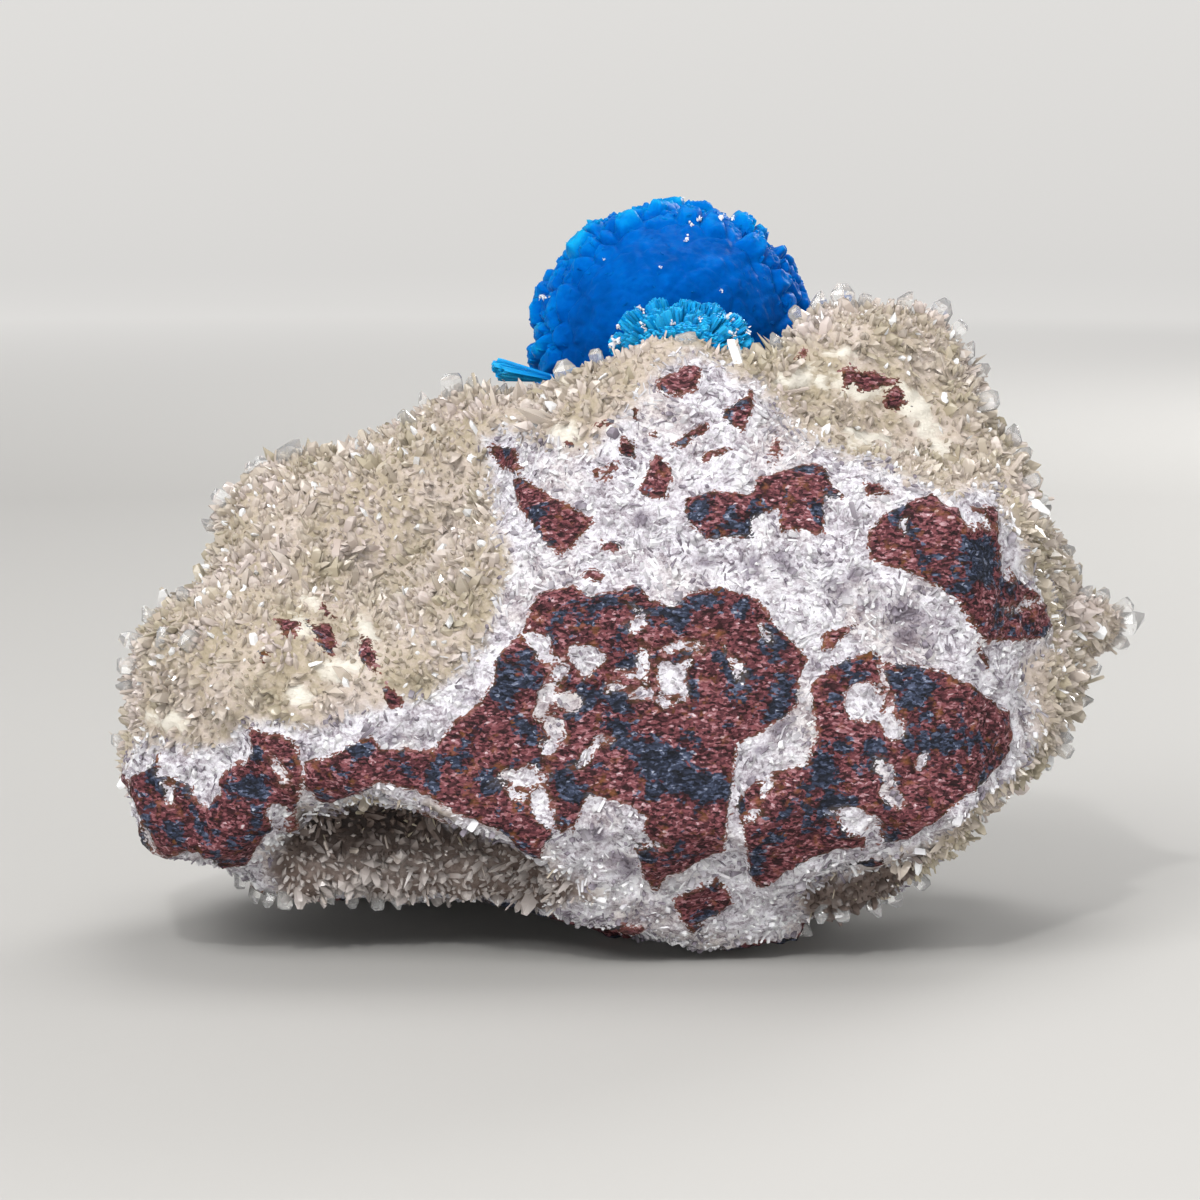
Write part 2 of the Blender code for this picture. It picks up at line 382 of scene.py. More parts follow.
# White zeolite inside the clasts.
POCKETS = rows(
    Spot,
    (540, 647, 22, 8, 38), (588, 657, 19, 14, 8), (585, 672, 10, 9, 0), (556, 672, 11, 7, -50),
    (545, 701, 18, 9, -70), (566, 700, 12, 9, 10), (556, 728, 16, 10, 50), (548, 746, 6, 10, 10),
    (636, 626, 10, 6, -60), (646, 667, 4, 18, 8), (630, 674, 12, 4, 8), (672, 683, 18, 11, 60),
    (684, 678, 7, 16, 10), (617, 691, 8, 4, 15), (642, 697, 12, 6, 20), (592, 752, 18, 6, -35),
    (684, 647, 19, 5, -5), (523, 776, 22, 7, -10), (541, 805, 22, 10, 60), (512, 794, 12, 4, 40),
    (664, 704, 10, 4, 20), (605, 819, 24, 14, 20), (640, 838, 20, 7, 20), (735, 663, 3, 15, -25),
    (863, 702, 19, 17, 60), (884, 676, 4, 19, -15), (891, 722, 15, 11, 70), (885, 770, 14, 8, 60),
    (893, 797, 12, 9, 40), (922, 761, 5, 6, 0), (857, 822, 24, 8, 20), (870, 838, 14, 5, 10),
    (762, 631, 4, 8, -30), (168, 798, 7, 12, -10), (277, 811, 12, 9, 30), (283, 768, 4, 13, -30),
    (977, 522, 14, 6, 5), (965, 514, 5, 8, 0), (1005, 563, 5, 15, -5), (1020, 605, 16, 4, -15),
    (901, 528, 4, 5, 0), (706, 920, 11, 4, -30), (935, 838, 30, 5, -25), (640, 610, 8, 3, 20),
    (566, 838, 5, 8, 0), (752, 816, 8, 3, -15), (766, 789, 4, 8, 20),
)

# Slate-blue patches inside the clasts.
SLATE_PATCHES = rows(
    Spot,
    (601, 606, 24, 8, -4), (590, 615, 8, 9, 0), (646, 612, 15, 9, 40), (677, 620, 16, 10, 25),
    (705, 602, 20, 9, -12), (632, 661, 13, 8, -30), (506, 683, 20, 11, 105), (524, 730, 20, 8, 50),
    (582, 703, 22, 8, -42), (618, 702, 17, 8, 15), (617, 727, 14, 10, 20), (637, 745, 15, 9, -10),
    (668, 768, 40, 20, 25), (700, 785, 32, 18, 10), (490, 781, 15, 10, 55), (566, 787, 20, 13, 40),
    (693, 685, 6, 16, -5), (564, 635, 9, 3, 15), (772, 657, 11, 8, 40), (785, 690, 9, 17, 20),
    (772, 708, 18, 10, -35), (735, 699, 12, 5, 5), (724, 665, 16, 8, 60), (824, 774, 15, 20, 0),
    (832, 804, 24, 11, -8), (783, 813, 20, 6, -30), (772, 834, 12, 6, -25), (838, 747, 11, 8, -40),
    (872, 746, 9, 10, 0), (851, 672, 13, 6, 15), (895, 678, 11, 8, 50), (915, 692, 18, 10, -30),
    (906, 739, 7, 12, 0), (925, 712, 9, 8, 0), (944, 741, 17, 14, 10), (836, 699, 5, 8, 20),
    (758, 853, 9, 8, 0), (251, 785, 22, 13, -10), (256, 813, 6, 10, -15), (199, 826, 13, 6, 50),
    (216, 851, 7, 6, 30), (149, 814, 4, 15, -18), (215, 806, 7, 4, -40), (976, 560, 18, 26, -15),
    (905, 530, 10, 7, 30), (934, 577, 9, 4, 30), (1003, 590, 7, 12, -10), (1010, 612, 12, 5, 10),
    (733, 520, 11, 8, 40), (703, 512, 7, 8, 0), (408, 771, 14, 6, 20), (345, 768, 9, 5, 20),
    (460, 760, 12, 6, -30), (545, 540, 8, 4, 40), (903, 700, 10, 7, 0), (742, 610, 8, 5, 30),
)


def add_node(tree: Tree, kind: str, sockets: Optional[dict] = None, **settings) -> bpy.types.Node:
    """Adds one shader node.

    Args:
        tree: the material's node tree.
        kind: the node's type, without the leading "ShaderNode".
        sockets: for an input, by name or number, its value or the output that feeds it.
        settings: the node's own properties.

    Returns:
        The node.
    """
    made = tree.nodes.new("ShaderNode" + kind)
    for name, value in settings.items():
        setattr(made, name, value)
    for name, value in (sockets or {}).items():
        if isinstance(value, Socket):
            tree.links.new(value, made.inputs[name])
        else:
            made.inputs[name].default_value = value
    return made


def ramp(tree: Tree, fac: Socket, stops: Stops) -> Socket:
    """Turns a number into a colour.

    Args:
        tree: the material's node tree.
        fac: the number, from 0 to 1.
        stops: places on the ramp and their hex colours.

    Returns:
        The colour output.
    """
    made = add_node(tree, "ValToRGB", {"Fac": fac})
    elements = made.color_ramp.elements
    while len(elements) < len(stops):
        elements.new(0.5)
    for element, (place, colour) in zip(elements, stops):
        element.position = place
        element.color = linear(colour)
    return made.outputs["Color"]


def average(tree: Tree, first: Socket, second: Socket, share: float) -> Socket:
    """Mixes two fields of numbers.

    Args:
        tree: the material's node tree.
        first: one field.
        second: the other.
        share: how much of the first is in the mixture.

    Returns:
        The mixture's output.
    """
    rest = add_node(tree, "Math", {0: second, 1: 1 - share}, operation="MULTIPLY").outputs[0]
    return add_node(tree, "Math", {0: first, 1: share, 2: rest}, operation="MULTIPLY_ADD").outputs[0]


def layered(tree: Tree, colour: Socket, *layers: tuple[Socket, object, str]) -> Socket:
    """Lays colours over one another.

    Args:
        tree: the material's node tree.
        colour: the lowest colour.
        layers: for each, where it shows, its colour and how it blends with what is below.

    Returns:
        The colour output.
    """
    for where, above, blend in layers:
        sockets = {0: where, 6: colour, 7: above}
        colour = add_node(tree, "Mix", sockets, data_type="RGBA", blend_type=blend).outputs[2]
    return colour


def new_material(name: str) -> bpy.types.Material:
    """A material with an empty node tree.

    Args:
        name: its name.

    Returns:
        The material.
    """
    made = bpy.data.materials.new(name)
    made.use_nodes = True
    made.node_tree.nodes.clear()
    return made


@dataclass(frozen=True)
class BrecciaFinish:
    """Basalt breccia cemented by zeolite, as a hammer left it, with the druse's cream footing round it.

    The grain of the basalt catches light as pinkish specks between dark pits: its lightest specks are painted
    highlights and its darkest painted shade in the pits, over the basalt's own maroon. The cement is white
    and sugary, the footing of the druse is a cream that light sinks into, and where the footing lines the
    hollows it is painted darker, as shade.
    """

    name: str
    # The basalt's grain: its own maroon, with painted highlights at the light end and painted shade in pits
    # at the dark end.
    basalt: Stops = (
        (0.22, "#12060a"), (0.38, "#321216"), (0.50, "#592a31"), (0.62, "#82464b"), (0.74, "#ad7d83"),
        (0.86, "#efe4e8"))
    slate: Stops = (
        (0.22, "#06070e"), (0.44, "#141a2a"), (0.60, "#2a344b"), (0.74, "#5c6680"), (0.86, "#c3c9d8"))
    cement: Stops = (
        (0.26, "#3c3137"), (0.37, "#857a82"), (0.46, "#c2bbc3"), (0.56, "#eeecf2"), (0.70, "#ffffff"))
    footing: Stops = (
        (0.32, "#a5987f"), (0.45, "#bcae98"), (0.56, "#cebfb2"), (0.70, "#e0d3cc"))
    milk: str = "#e9e3d6"
    # The hollows' lining: darker than the footing, as painted shade.
    hollow: Stops = ((0.30, "#463833"), (0.5, "#77675f"), (0.7, "#a3968f"))
    # Painted shade at the top of a hollow.
    painted_shade_at_roof: str = "#3a2d2a"
    painted_shade_heights: tuple[float, float] = (6.0 * MM, 9.0 * MM)  # over which a hollow's lining is painted darker towards its roof, as painted shade
    ochre: str = "#8f5a2c"
    rind: str = "#6d5527"
    warm_cement: str = "#e6dacb"
    cluster: str = "#a39ca5"
    lumps: tuple[tuple[str, float, float, float], ...] = (  # a name, millimetres, detail and roughness
        ("dust", 0.5, 4.0, 0.75), ("ragged", 0.9, 4.0, 0.7), ("clast_edge", 0.7, 4.0, 0.7),
        ("druse_edge", 2.4, 3.0, 0.6), ("rust", 0.9, 3.0, 0.6), ("sugar", 0.22, 4.0, 0.75),
        ("drifts", 1.5, 3.0, 0.6), ("stains", 5.0, 3.0, 0.6), ("footing", 0.45, 4.0, 0.7),
        ("patches", 4.0, 3.0, 0.6))
    grain_mm: float = 0.15
    chip_mm: float = 0.28
    chip_slant: float = -18  # degrees
    chip_stretch: tuple[float, float, float] = (0.62, 1.0, 1.15)
    relief: float = 0.20 * MM

    def make(self) -> bpy.types.Material:
        """Builds the material, which reads the skin's zones.

        Returns:
            The material.
        """
        material = new_material(self.name)
        tree = material.node_tree
        place = add_node(tree, "TexCoord").outputs["Object"]
        height = add_node(tree, "SeparateXYZ", {"Vector": place}).outputs["Z"]
        lumps = {
            name: add_node(tree, "TexNoise", {
                "Vector": place, "Scale": per_metre(size_mm), "Detail": detail, "Roughness": rough,
            }).outputs["Fac"]
            for name, size_mm, detail, rough in self.lumps}
        small_chips = self.chips(tree, place, self.grain_mm)
        big_chips = self.chips(tree, place, self.chip_mm)
        fine = average(tree, small_chips, average(tree, big_chips, lumps["dust"], 0.4), 0.36)
        ragged = average(tree, big_chips, lumps["ragged"], 0.4)
        sugar = average(tree, big_chips, lumps["sugar"], 0.22)
        sugar = average(tree, sugar, lumps["drifts"], 0.62)
        grown = average(tree, lumps["footing"], lumps["patches"], 0.42)
        clast_edge = average(tree, small_chips, lumps["clast_edge"], 0.35)
        clast, slate, crust, cluster, milk, hollow = (
            self.zone(tree, *settings) for settings in (
                ("clast", clast_edge, 0.75, 0.02), ("slate", ragged, 1.3, 0.03),
                ("crust", lumps["druse_edge"], 2.6, 0.7), ("cluster", ragged, 1.0, 0.35),
                ("milk", ragged, 0.8, 0.3), ("hollow", lumps["druse_edge"], 1.0, 0.4)))
        in_clast = add_node(tree, "Attribute", attribute_name="clast").outputs["Fac"]
        rusty, rim, stained, roof, rough = (
            add_node(tree, "MapRange", {
                "Value": value, "From Min": low, "From Max": high, "To Min": at_low, "To Max": at_high,
            }).outputs["Result"]
            for value, low, high, at_low, at_high in (
                (lumps["rust"], 0.56, 0.72, 0.0, 0.6), (in_clast, 0.02, 0.28, 0.32, 0.0),
                (lumps["stains"], 0.5, 0.7, 0.0, 0.6), (height, *self.painted_shade_heights, 0.0, 0.9),
                (fine, 0.3, 0.8, 0.8, 0.35)))
        basalt = layered(
            tree, ramp(tree, fine, self.basalt), (rusty, linear(self.ochre), "MIX"),
            (slate, ramp(tree, fine, self.slate), "MIX"), (rim, linear(self.rind), "MIX"))
        cement = layered(
            tree, ramp(tree, sugar, self.cement), (stained, linear(self.warm_cement), "MULTIPLY"),
            (cluster, linear(self.cluster), "MULTIPLY"))
        # Painted shade: the hollows' lining, darkened further towards its roof.
        lining = layered(
            tree, ramp(tree, grown, self.hollow), (roof, linear(self.painted_shade_at_roof), "MULTIPLY"))
        footing = layered(
            tree, ramp(tree, grown, self.footing), (milk, linear(self.milk), "MIX"),
            (hollow, lining, "MIX"))
        colour = layered(tree, cement, (crust, footing, "MIX"), (clast, basalt, "MIX"))
        relief = add_node(tree, "Math", {0: sugar, 1: fine}, operation="ADD").outputs[0]
        bump = add_node(tree, "Bump", {"Height": relief, "Strength": 1.0, "Distance": self.relief})
        shader = add_node(tree, "BsdfPrincipled", {
            "Base Color": colour, "Roughness": rough, "Normal": bump.outputs[0], "IOR": 1.55,
            "Specular IOR Level": 0.3,
        })
        add_node(tree, "OutputMaterial", {"Surface": shader.outputs[0]})
        return material

    def chips(self, tree: Tree, place: Socket, size_mm: float) -> Socket:
        """Slanted chips, each of one shade.

        Args:
            tree: the material's node tree.
            place: where on the object.
            size_mm: the chips' size.

        Returns:
            The shade's output, from 0 to 1.
        """
        slanted = add_node(tree, "Mapping", {
            "Vector": place, "Scale": self.chip_stretch,
            "Rotation": (0.0, math.radians(self.chip_slant), 0.0),
        })
        broken = add_node(tree, "TexVoronoi", {"Vector": slanted.outputs[0], "Scale": per_metre(size_mm)})
        return add_node(tree, "SeparateColor", {"Color": broken.outputs["Color"]}).outputs["Red"]

    @staticmethod
    def zone(tree: Tree, name: str, wobble: Socket, reach_mm: float, soft_mm: float) -> Socket:
        """Tells where a zone of the skin shows.

        Args:
            tree: the material's node tree.
            name: the zone's name.
            wobble: the field that its edge follows.
            reach_mm: how far the edge wobbles.
            soft_mm: how soft the edge is.

        Returns:
            An output that is 1 inside the zone and 0 outside it.
        """
        inside = add_node(tree, "Attribute", attribute_name=name).outputs["Fac"]
        strayed = add_node(tree, "Math", {0: wobble, 1: reach_mm, 2: inside}, operation="MULTIPLY_ADD")
        low, high = reach_mm / 2 - soft_mm, reach_mm / 2 + soft_mm
        sockets = {"Value": strayed.outputs[0], "From Min": low, "From Max": high}
        return add_node(tree, "MapRange", sockets, interpolation_type="SMOOTHSTEP").outputs["Result"]


@dataclass(frozen=True)
class CrystalFinish:
    """Glassy crystals grown free: clear or tinted, brighter at the tip than at the milky root.

    The colour runs from root to tip and strays from crystal to crystal, and what light passes is
    stained by the crystal's depth.
    """

    name: str
    root: tuple[str, str]
    tip: tuple[str, str]
    transmission: float
    roughness: float
    ior: float
    stain: str = "#ffffff"
    stain_per_metre: float = 0.0
    growth_mm: float = 0.35  # between the growth marks of a face
    subsurface: float = 0.0
    subsurface_mm: float = 0.6
    gloss: float = 0.5
    painted_glint: str = ""  # the colour of the crystals with a tint of 1, where it differs: a painted glint, white as light thrown back off their faces

    def make(self) -> bpy.types.Material:
        """Builds the material, which reads each crystal's tint and the way along it.

        Returns:
            The material.
        """
        material = new_material(self.name)
        tree = material.node_tree
        tint = add_node(tree, "Attribute", attribute_name="tint").outputs["Fac"]
        along = add_node(tree, "Attribute", attribute_name="along").outputs["Fac"]
        # A tint of 1 takes the painted glint's colour, where one is given.
        root, tip = (
            ramp(tree, tint, ((0.0, first), (0.92, last), (0.96, self.painted_glint or last)))
            for first, last in (self.root, self.tip))
        place = add_node(tree, "TexCoord").outputs["Object"]
        growth = add_node(tree, "TexNoise", {
            "Vector": place, "Scale": per_metre(self.growth_mm), "Detail": 2.0,
        })
        bump = add_node(tree, "Bump", {
            "Height": growth.outputs["Fac"], "Strength": 0.25, "Distance": 0.05 * MM,
        })
        shader = add_node(tree, "BsdfPrincipled", {
            "Base Color": layered(tree, root, (along, tip, "MIX")),
            "Roughness": self.roughness, "IOR": self.ior,
            "Transmission Weight": self.transmission, "Subsurface Weight": self.subsurface,
            "Subsurface Scale": self.subsurface_mm * MM, "Specular IOR Level": self.gloss,
            "Normal": bump.outputs[0],
        })
        output = add_node(tree, "OutputMaterial", {"Surface": shader.outputs[0]})
        if self.stain_per_metre:
            depth = add_node(tree, "VolumeAbsorption", {
                "Color": linear(self.stain), "Density": self.stain_per_metre,
            })
            tree.links.new(depth.outputs[0], output.inputs["Volume"])
        return material


@dataclass(frozen=True)
class RosetteFinish:
    """Cavansite blades in one dense ball, vitreous blue, with painted shade deep blue low on the face and in
    the clefts, and painted light cyan where bunches stand out.
    """

    name: str
    blues_for_painted_light_and_tone: Stops = (
        (0.0, "#00458f"), (0.33, "#0052a6"), (0.55, "#005fb6"), (0.78, "#0278c8"), (1.0, "#129ad2"))
    sheen: str = "#2aa4ff"
    red_reach: float = 0.02  # of the blue's, as light spreads under the surface
    green_reach: float = 0.6
    cloudiness: float = 0.7
    cloud_mm: float = 1.2
    fibre_mm: float = 0.22

    def make(self) -> bpy.types.Material:
        """Builds the material, which reads the painted light and shade of each place, with its tone, from an
        attribute.

        Returns:
            The material.
        """
        material = new_material(self.name)
        tree = material.node_tree
        place = add_node(tree, "TexCoord").outputs["Object"]
        # Painted light and shade of the ball, with a random tone: cyan where bunches stand out, deep blue low
        # on the face.
        painted_light_and_tone = add_node(tree, "Attribute", attribute_name="painted_light_and_tone").outputs["Fac"]
        cloud = add_node(tree, "TexNoise", {
            "Vector": place, "Scale": per_metre(self.cloud_mm), "Detail": 5.0,
        })
        shift = add_node(tree, "Math", {
            0: cloud.outputs["Fac"], 1: self.cloudiness, 2: -self.cloudiness / 2,
        }, operation="MULTIPLY_ADD")
        level = add_node(tree, "Math", {0: painted_light_and_tone, 1: shift.outputs[0]}, operation="ADD", use_clamp=True)
        fibre = add_node(tree, "TexNoise", {
            "Vector": place, "Scale": per_metre(self.fibre_mm), "Detail": 3.0,
        })
        bump = add_node(tree, "Bump", {
            "Height": fibre.outputs["Fac"], "Strength": 0.5, "Distance": 0.08 * MM,
        })
        shader = add_node(tree, "BsdfPrincipled", {
            "Base Color": ramp(tree, level.outputs[0], self.blues_for_painted_light_and_tone), "Roughness": 0.38, "IOR": 1.54,
            "Specular IOR Level": 0.05, "Subsurface Weight": 0.35, "Subsurface Scale": 0.7 * MM,
            "Normal": bump.outputs[0],
        })
        shader.inputs["Subsurface Radius"].default_value = (self.red_reach, self.green_reach, 1.0)
        shader.inputs["Specular Tint"].default_value = linear(self.sheen)
        add_node(tree, "OutputMaterial", {"Surface": shader.outputs[0]})
        return material


BRECCIA = BrecciaFinish("basalt_breccia_broken")
# Stilbite of the druse: grown free in a cavity, so glassy, nearly clear at the tips over a milky root; a few
# of its crystals are painted pure white as painted glints.
STILBITE = CrystalFinish(
    "stilbite_clear_with_painted_glints", ("#ada088", "#cbbab1"), ("#c2b7a1", "#e2d5cf"),
    transmission=0.12, roughness=0.10, ior=1.50, painted_glint="#ffffff")
# Stilbite in the hollows: glassy and nearly colourless over the hollows' dark lining, which shows through it;
# its crystals are painted darker as shade towards the top of a hollow and all over the right-hand hollow.
STILBITE_HOLLOW = CrystalFinish(
    "stilbite_in_hollow_painted_shade", ("#4a3c36", "#b0a199"), ("#786a63", "#e3dad5"),
    transmission=0.20, roughness=0.10, ior=1.50)
# The largest stilbite crystals: clear right through.
STILBITE_CLEAR = CrystalFinish(
    "stilbite_grown_water_clear", ("#f4efe8", "#ffffff"), ("#ffffff", "#ffffff"),
    transmission=0.75, roughness=0.04, ior=1.50, stain="#efe6d6", stain_per_metre=120.0)
# Zeolite laths of the cement: felted when they filled the cracks, so white and silky.
LATHS = CrystalFinish(
    "zeolite_laths_felted", ("#685f68", "#f2f0f5"), ("#978f9a", "#ffffff"),
    transmission=0.1, roughness=0.25, ior=1.48)
# Tan stilbite: pearly sheaf blades, stained by iron.
TAN_STILBITE = CrystalFinish(
    "stilbite_sheaf_tan", ("#a98d76", "#bfa68f"), ("#cdb8a4", "#e2d4c4"),
    transmission=0.2, roughness=0.3, ior=1.50)
ROSETTE_BLUE = RosetteFinish("cavansite_ball_vitreous_painted_light")
# Cavansite blades: thin and translucent, so bright blue with cyan ends.
CAVANSITE = CrystalFinish(
    "cavansite_blades_vitreous", ("#0268be", "#047bcc"), ("#0690da", "#30b8ee"),
    transmission=0.0, roughness=0.22, ior=1.54, subsurface=0.2, gloss=0.06)


class Habit(Enum):
    """Crystal shapes, each as the height of its shoulder, and the width, thickness and lean of its tip."""

    CHISEL = (0.70, 0.42, 0.0, 0.0)
    POINT = (0.64, 0.0, 0.0, 0.0)
    OBLIQUE = (0.66, 0.28, 0.0, 0.24)
    TABLET = (0.84, 0.66, 0.30, 0.05)
    BLOCK = (0.90, 0.82, 0.62, 0.0)
    LATH = (0.94, 0.75, 0.6, 0.0)


class Prototype(NamedTuple):
    """One crystal's corners and faces, one tall and one wide, foot at the origin."""

    corners: np.ndarray
    corner_of_loop: np.ndarray
    face_sizes: np.ndarray
    triangles: int


def crystal(habit: Habit, sides: int = 6) -> Prototype:
    """Grows one crystal of a habit: a prism, drawn out from its shoulder to its tip.

    Args:
        habit: the shape.
        sides: how many sides the prism has.

    Returns:
        The crystal.
    """
    shoulder, width, thickness, lean = habit.value
    bm = bmesh.new()
    bmesh.ops.create_cone(bm, cap_ends=True, segments=sides, radius1=0.5, radius2=0.5, depth=shoulder)
    bmesh.ops.translate(bm, vec=(0, 0, shoulder / 2), verts=bm.verts[:])
    top = max(bm.faces, key=lambda face: face.calc_center_median().z)
    drawn = bmesh.ops.extrude_face_region(bm, geom=[top])["geom"]
    bmesh.ops.delete(bm, geom=[top], context="FACES_ONLY")
    tip = [part for part in drawn if isinstance(part, bmesh.types.BMVert)]
    bmesh.ops.scale(bm, vec=(width, thickness, 1), verts=tip)
    bmesh.ops.translate(bm, vec=(lean, 0, 1 - shoulder), verts=tip)
    bmesh.ops.remove_doubles(bm, verts=bm.verts[:], dist=1e-4)
    bmesh.ops.dissolve_degenerate(bm, edges=bm.edges[:], dist=1e-5)
    bmesh.ops.recalc_face_normals(bm, faces=bm.faces[:])
    if bm.calc_volume(signed=True) < 0:
        bmesh.ops.reverse_faces(bm, faces=bm.faces[:])
    # The operators leave the order, and a corner's last digits, different from run to run.
    for vert in bm.verts:
        vert.co = [round(value, 6) for value in vert.co]
    verts = sorted(bm.verts, key=lambda vert: vert.co[:])
    numbers = {vert: number for number, vert in enumerate(verts)}
    faces = []
    for face in bm.faces:
        around = [numbers[vert] for vert in face.verts]
        lowest = around.index(min(around))
        faces.append(around[lowest:] + around[:lowest])
    faces.sort()
    corners = np.array([vert.co[:] for vert in verts])
    bm.free()
    sizes = np.array([len(face) for face in faces])
    return Prototype(corners, np.concatenate(faces), sizes, int((sizes - 2).sum()))


def frames_along(directions: np.ndarray, turns: np.ndarray) -> np.ndarray:
    """Frames whose Z runs along the directions.

    Args:
        directions: one a row, of length 1.
        turns: how far each frame is turned about its Z, in radians.

    Returns:
        One 3 by 3 matrix each, with the frame's axes as its columns.
    """
    helper = np.where(np.abs(directions[:, 2:3]) < 0.9, [[0.0, 0.0, 1.0]], [[1.0, 0.0, 0.0]])
    side = unit(np.cross(helper, directions))
    other = np.cross(directions, side)
    first = side * np.cos(turns)[:, None] + other * np.sin(turns)[:, None]
    return np.stack([first, np.cross(directions, first), directions], axis=2)


@dataclass
class Growth:
    """Where a crowd of crystals stands: a row for each crystal."""

    feet: np.ndarray
    directions: np.ndarray
    turns: np.ndarray
    sizes: np.ndarray  # width, thickness and length
    tints: np.ndarray

    def picked(self, chosen: np.ndarray) -> "Growth":
        """The same for some of the crystals."""
        return Growth(self.feet[chosen], self.directions[chosen], self.turns[chosen], self.sizes[chosen],
                      self.tints[chosen])


def mesh_object(name: str, corners: np.ndarray, loops: np.ndarray, sizes: np.ndarray) -> Piece:
    """Makes an object from joined copies of crystals.

    Args:
        name: the object's name.
        corners: the corners' places, one a row.
        loops: for each face in turn, its corners' numbers.
        sizes: how many corners each face has.

    Returns:
        The object, in the scene.
    """
    mesh = bpy.data.meshes.new(name)
    mesh.vertices.add(len(corners))
    mesh.vertices.foreach_set("co", corners.astype(np.float32).ravel())
    mesh.loops.add(len(loops))
    mesh.loops.foreach_set("vertex_index", loops.astype(np.int32))
    mesh.polygons.add(len(sizes))
    starts = np.concatenate([[0], np.cumsum(sizes)[:-1]])
    mesh.polygons.foreach_set("loop_start", starts.astype(np.int32))
    mesh.polygons.foreach_set("loop_total", sizes.astype(np.int32))
    mesh.update(calc_edges=True)
    return in_scene(name, mesh)


def store(mesh: bpy.types.Mesh, name: str, values: np.ndarray) -> None:
    """Keeps a number for each of a mesh's corners, for its material to read."""
    mesh.attributes.new(name, "FLOAT", "POINT").data.foreach_set("value", values.astype(np.float32))


def grow(name: str, habits: Sequence[Habit], growth: Growth, sides: int = 6) -> Piece:
    """Joins a crowd of crystals into one mesh.

    Args:
        name: the object's name.
        habits: the shapes, which take turns.
        growth: where the crystals stand.
        sides: how many sides each has.

    Returns:
        The object.
    """
    corners, loops, sizes, along, tints = [], [], [], [], []
    first = 0
    for number, habit in enumerate(habits):
        shape = crystal(habit, sides)
        some = growth.picked(np.arange(len(growth.feet)) % len(habits) == number)
        count = len(some.feet)
        if not count:
            continue
        axes = frames_along(some.directions, some.turns)
        local = shape.corners[None, :, :] * some.sizes[:, None, :]
        placed = np.einsum("nij,nkj->nki", axes, local) + some.feet[:, None, :]
        corners.append(placed.reshape(-1, 3))
        step = np.arange(count)[:, None] * len(shape.corners) + first
        loops.append((shape.corner_of_loop[None, :] + step).ravel())
        sizes.append(np.tile(shape.face_sizes, count))
        along.append(np.tile(shape.corners[:, 2], count))
        tints.append(np.repeat(some.tints, len(shape.corners)))
        first += count * len(shape.corners)
    piece = mesh_object(name, np.concatenate(corners), np.concatenate(loops), np.concatenate(sizes))
    piece.data.shade_flat()
    store(piece.data, "along", np.concatenate(along))
    store(piece.data, "tint", np.concatenate(tints))
    return piece


def dress(piece: Piece, material: bpy.types.Material, slot: str, nodes: Sequence[str] = ()) -> Piece:
    """Finishes a piece: its material, the body that it rides on and the nodes that it stands for.

    Args:
        piece: the object.
        material: its finish.
        slot: not used.
        nodes: the CAD nodes that it replaces.

    Returns:
        The piece.
    """
    piece.data.materials.clear()
    piece.data.materials.append(material)
    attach(piece, "root")
    if nodes:
        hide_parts(*nodes)
    triangles = sum(len(face.vertices) - 2 for face in piece.data.polygons)
    LOG.info("%s: %d triangles, %s", piece.name, triangles, material.name)
    return piece


def merged_copy(name: str, nodes: Sequence[str]) -> Piece:
    """A copy of CAD nodes as one object, whose loose triangles are joined up.

    Args:
        name: the copy's name.
        nodes: the CAD nodes.

    Returns:
        The copy.
    """
    bm = bmesh.new()
    for node in nodes:
        bm.from_mesh(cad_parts[node].data)
    bmesh.ops.remove_doubles(bm, verts=bm.verts[:], dist=0.001 * MM)
    return finished(name, bm)


def evaluated(piece: Piece) -> Piece:
    """Applies a piece's modifiers.

    Args:
        piece: the object.

    Returns:
        The same object.
    """
    graph = bpy.context.evaluated_depsgraph_get()
    mesh = bpy.data.meshes.new_from_object(piece.evaluated_get(graph))
    old = piece.data
    piece.modifiers.clear()
    piece.data = mesh
    bpy.data.meshes.remove(old)
    return piece


def remeshed(piece: Piece, facet: float, smoothing: int) -> Piece:
    """Remakes a closed piece with even facets.

    Args:
        piece: the object.
        facet: the facets' size.
        smoothing: how many times its corners are evened out.

    Returns:
        The same object.
    """
    even = piece.modifiers.new("Even", "REMESH")
    even.mode = "VOXEL"
    even.voxel_size = facet
    if smoothing:
        ease = piece.modifiers.new("Ease", "SMOOTH")
        ease.factor = 0.5
        ease.iterations = smoothing
    return evaluated(piece)


def read(mesh: bpy.types.Mesh) -> tuple[np.ndarray, np.ndarray]:
    """A mesh's corners and their normals, one a row.

    Args:
        mesh: the mesh.

    Returns:
        The corners' places and their normals.
    """
    points = np.empty(len(mesh.vertices) * 3)
    mesh.vertices.foreach_get("co", points)
    normals = np.empty(len(mesh.vertices) * 3)
    mesh.vertex_normals.foreach_get("vector", normals)
    return points.reshape(-1, 3), normals.reshape(-1, 3)


def write(mesh: bpy.types.Mesh, points: np.ndarray, floor: bool = True) -> None:
    """Moves a mesh's corners.

    Args:
        mesh: the mesh.
        points: the corners' new places.
        floor: whether none may be below the surface that the specimen stands on.
    """
    if floor:
        points[:, 2] = np.maximum(points[:, 2], 0.0)
    mesh.vertices.foreach_set("co", points.astype(np.float32).ravel())
    mesh.update()


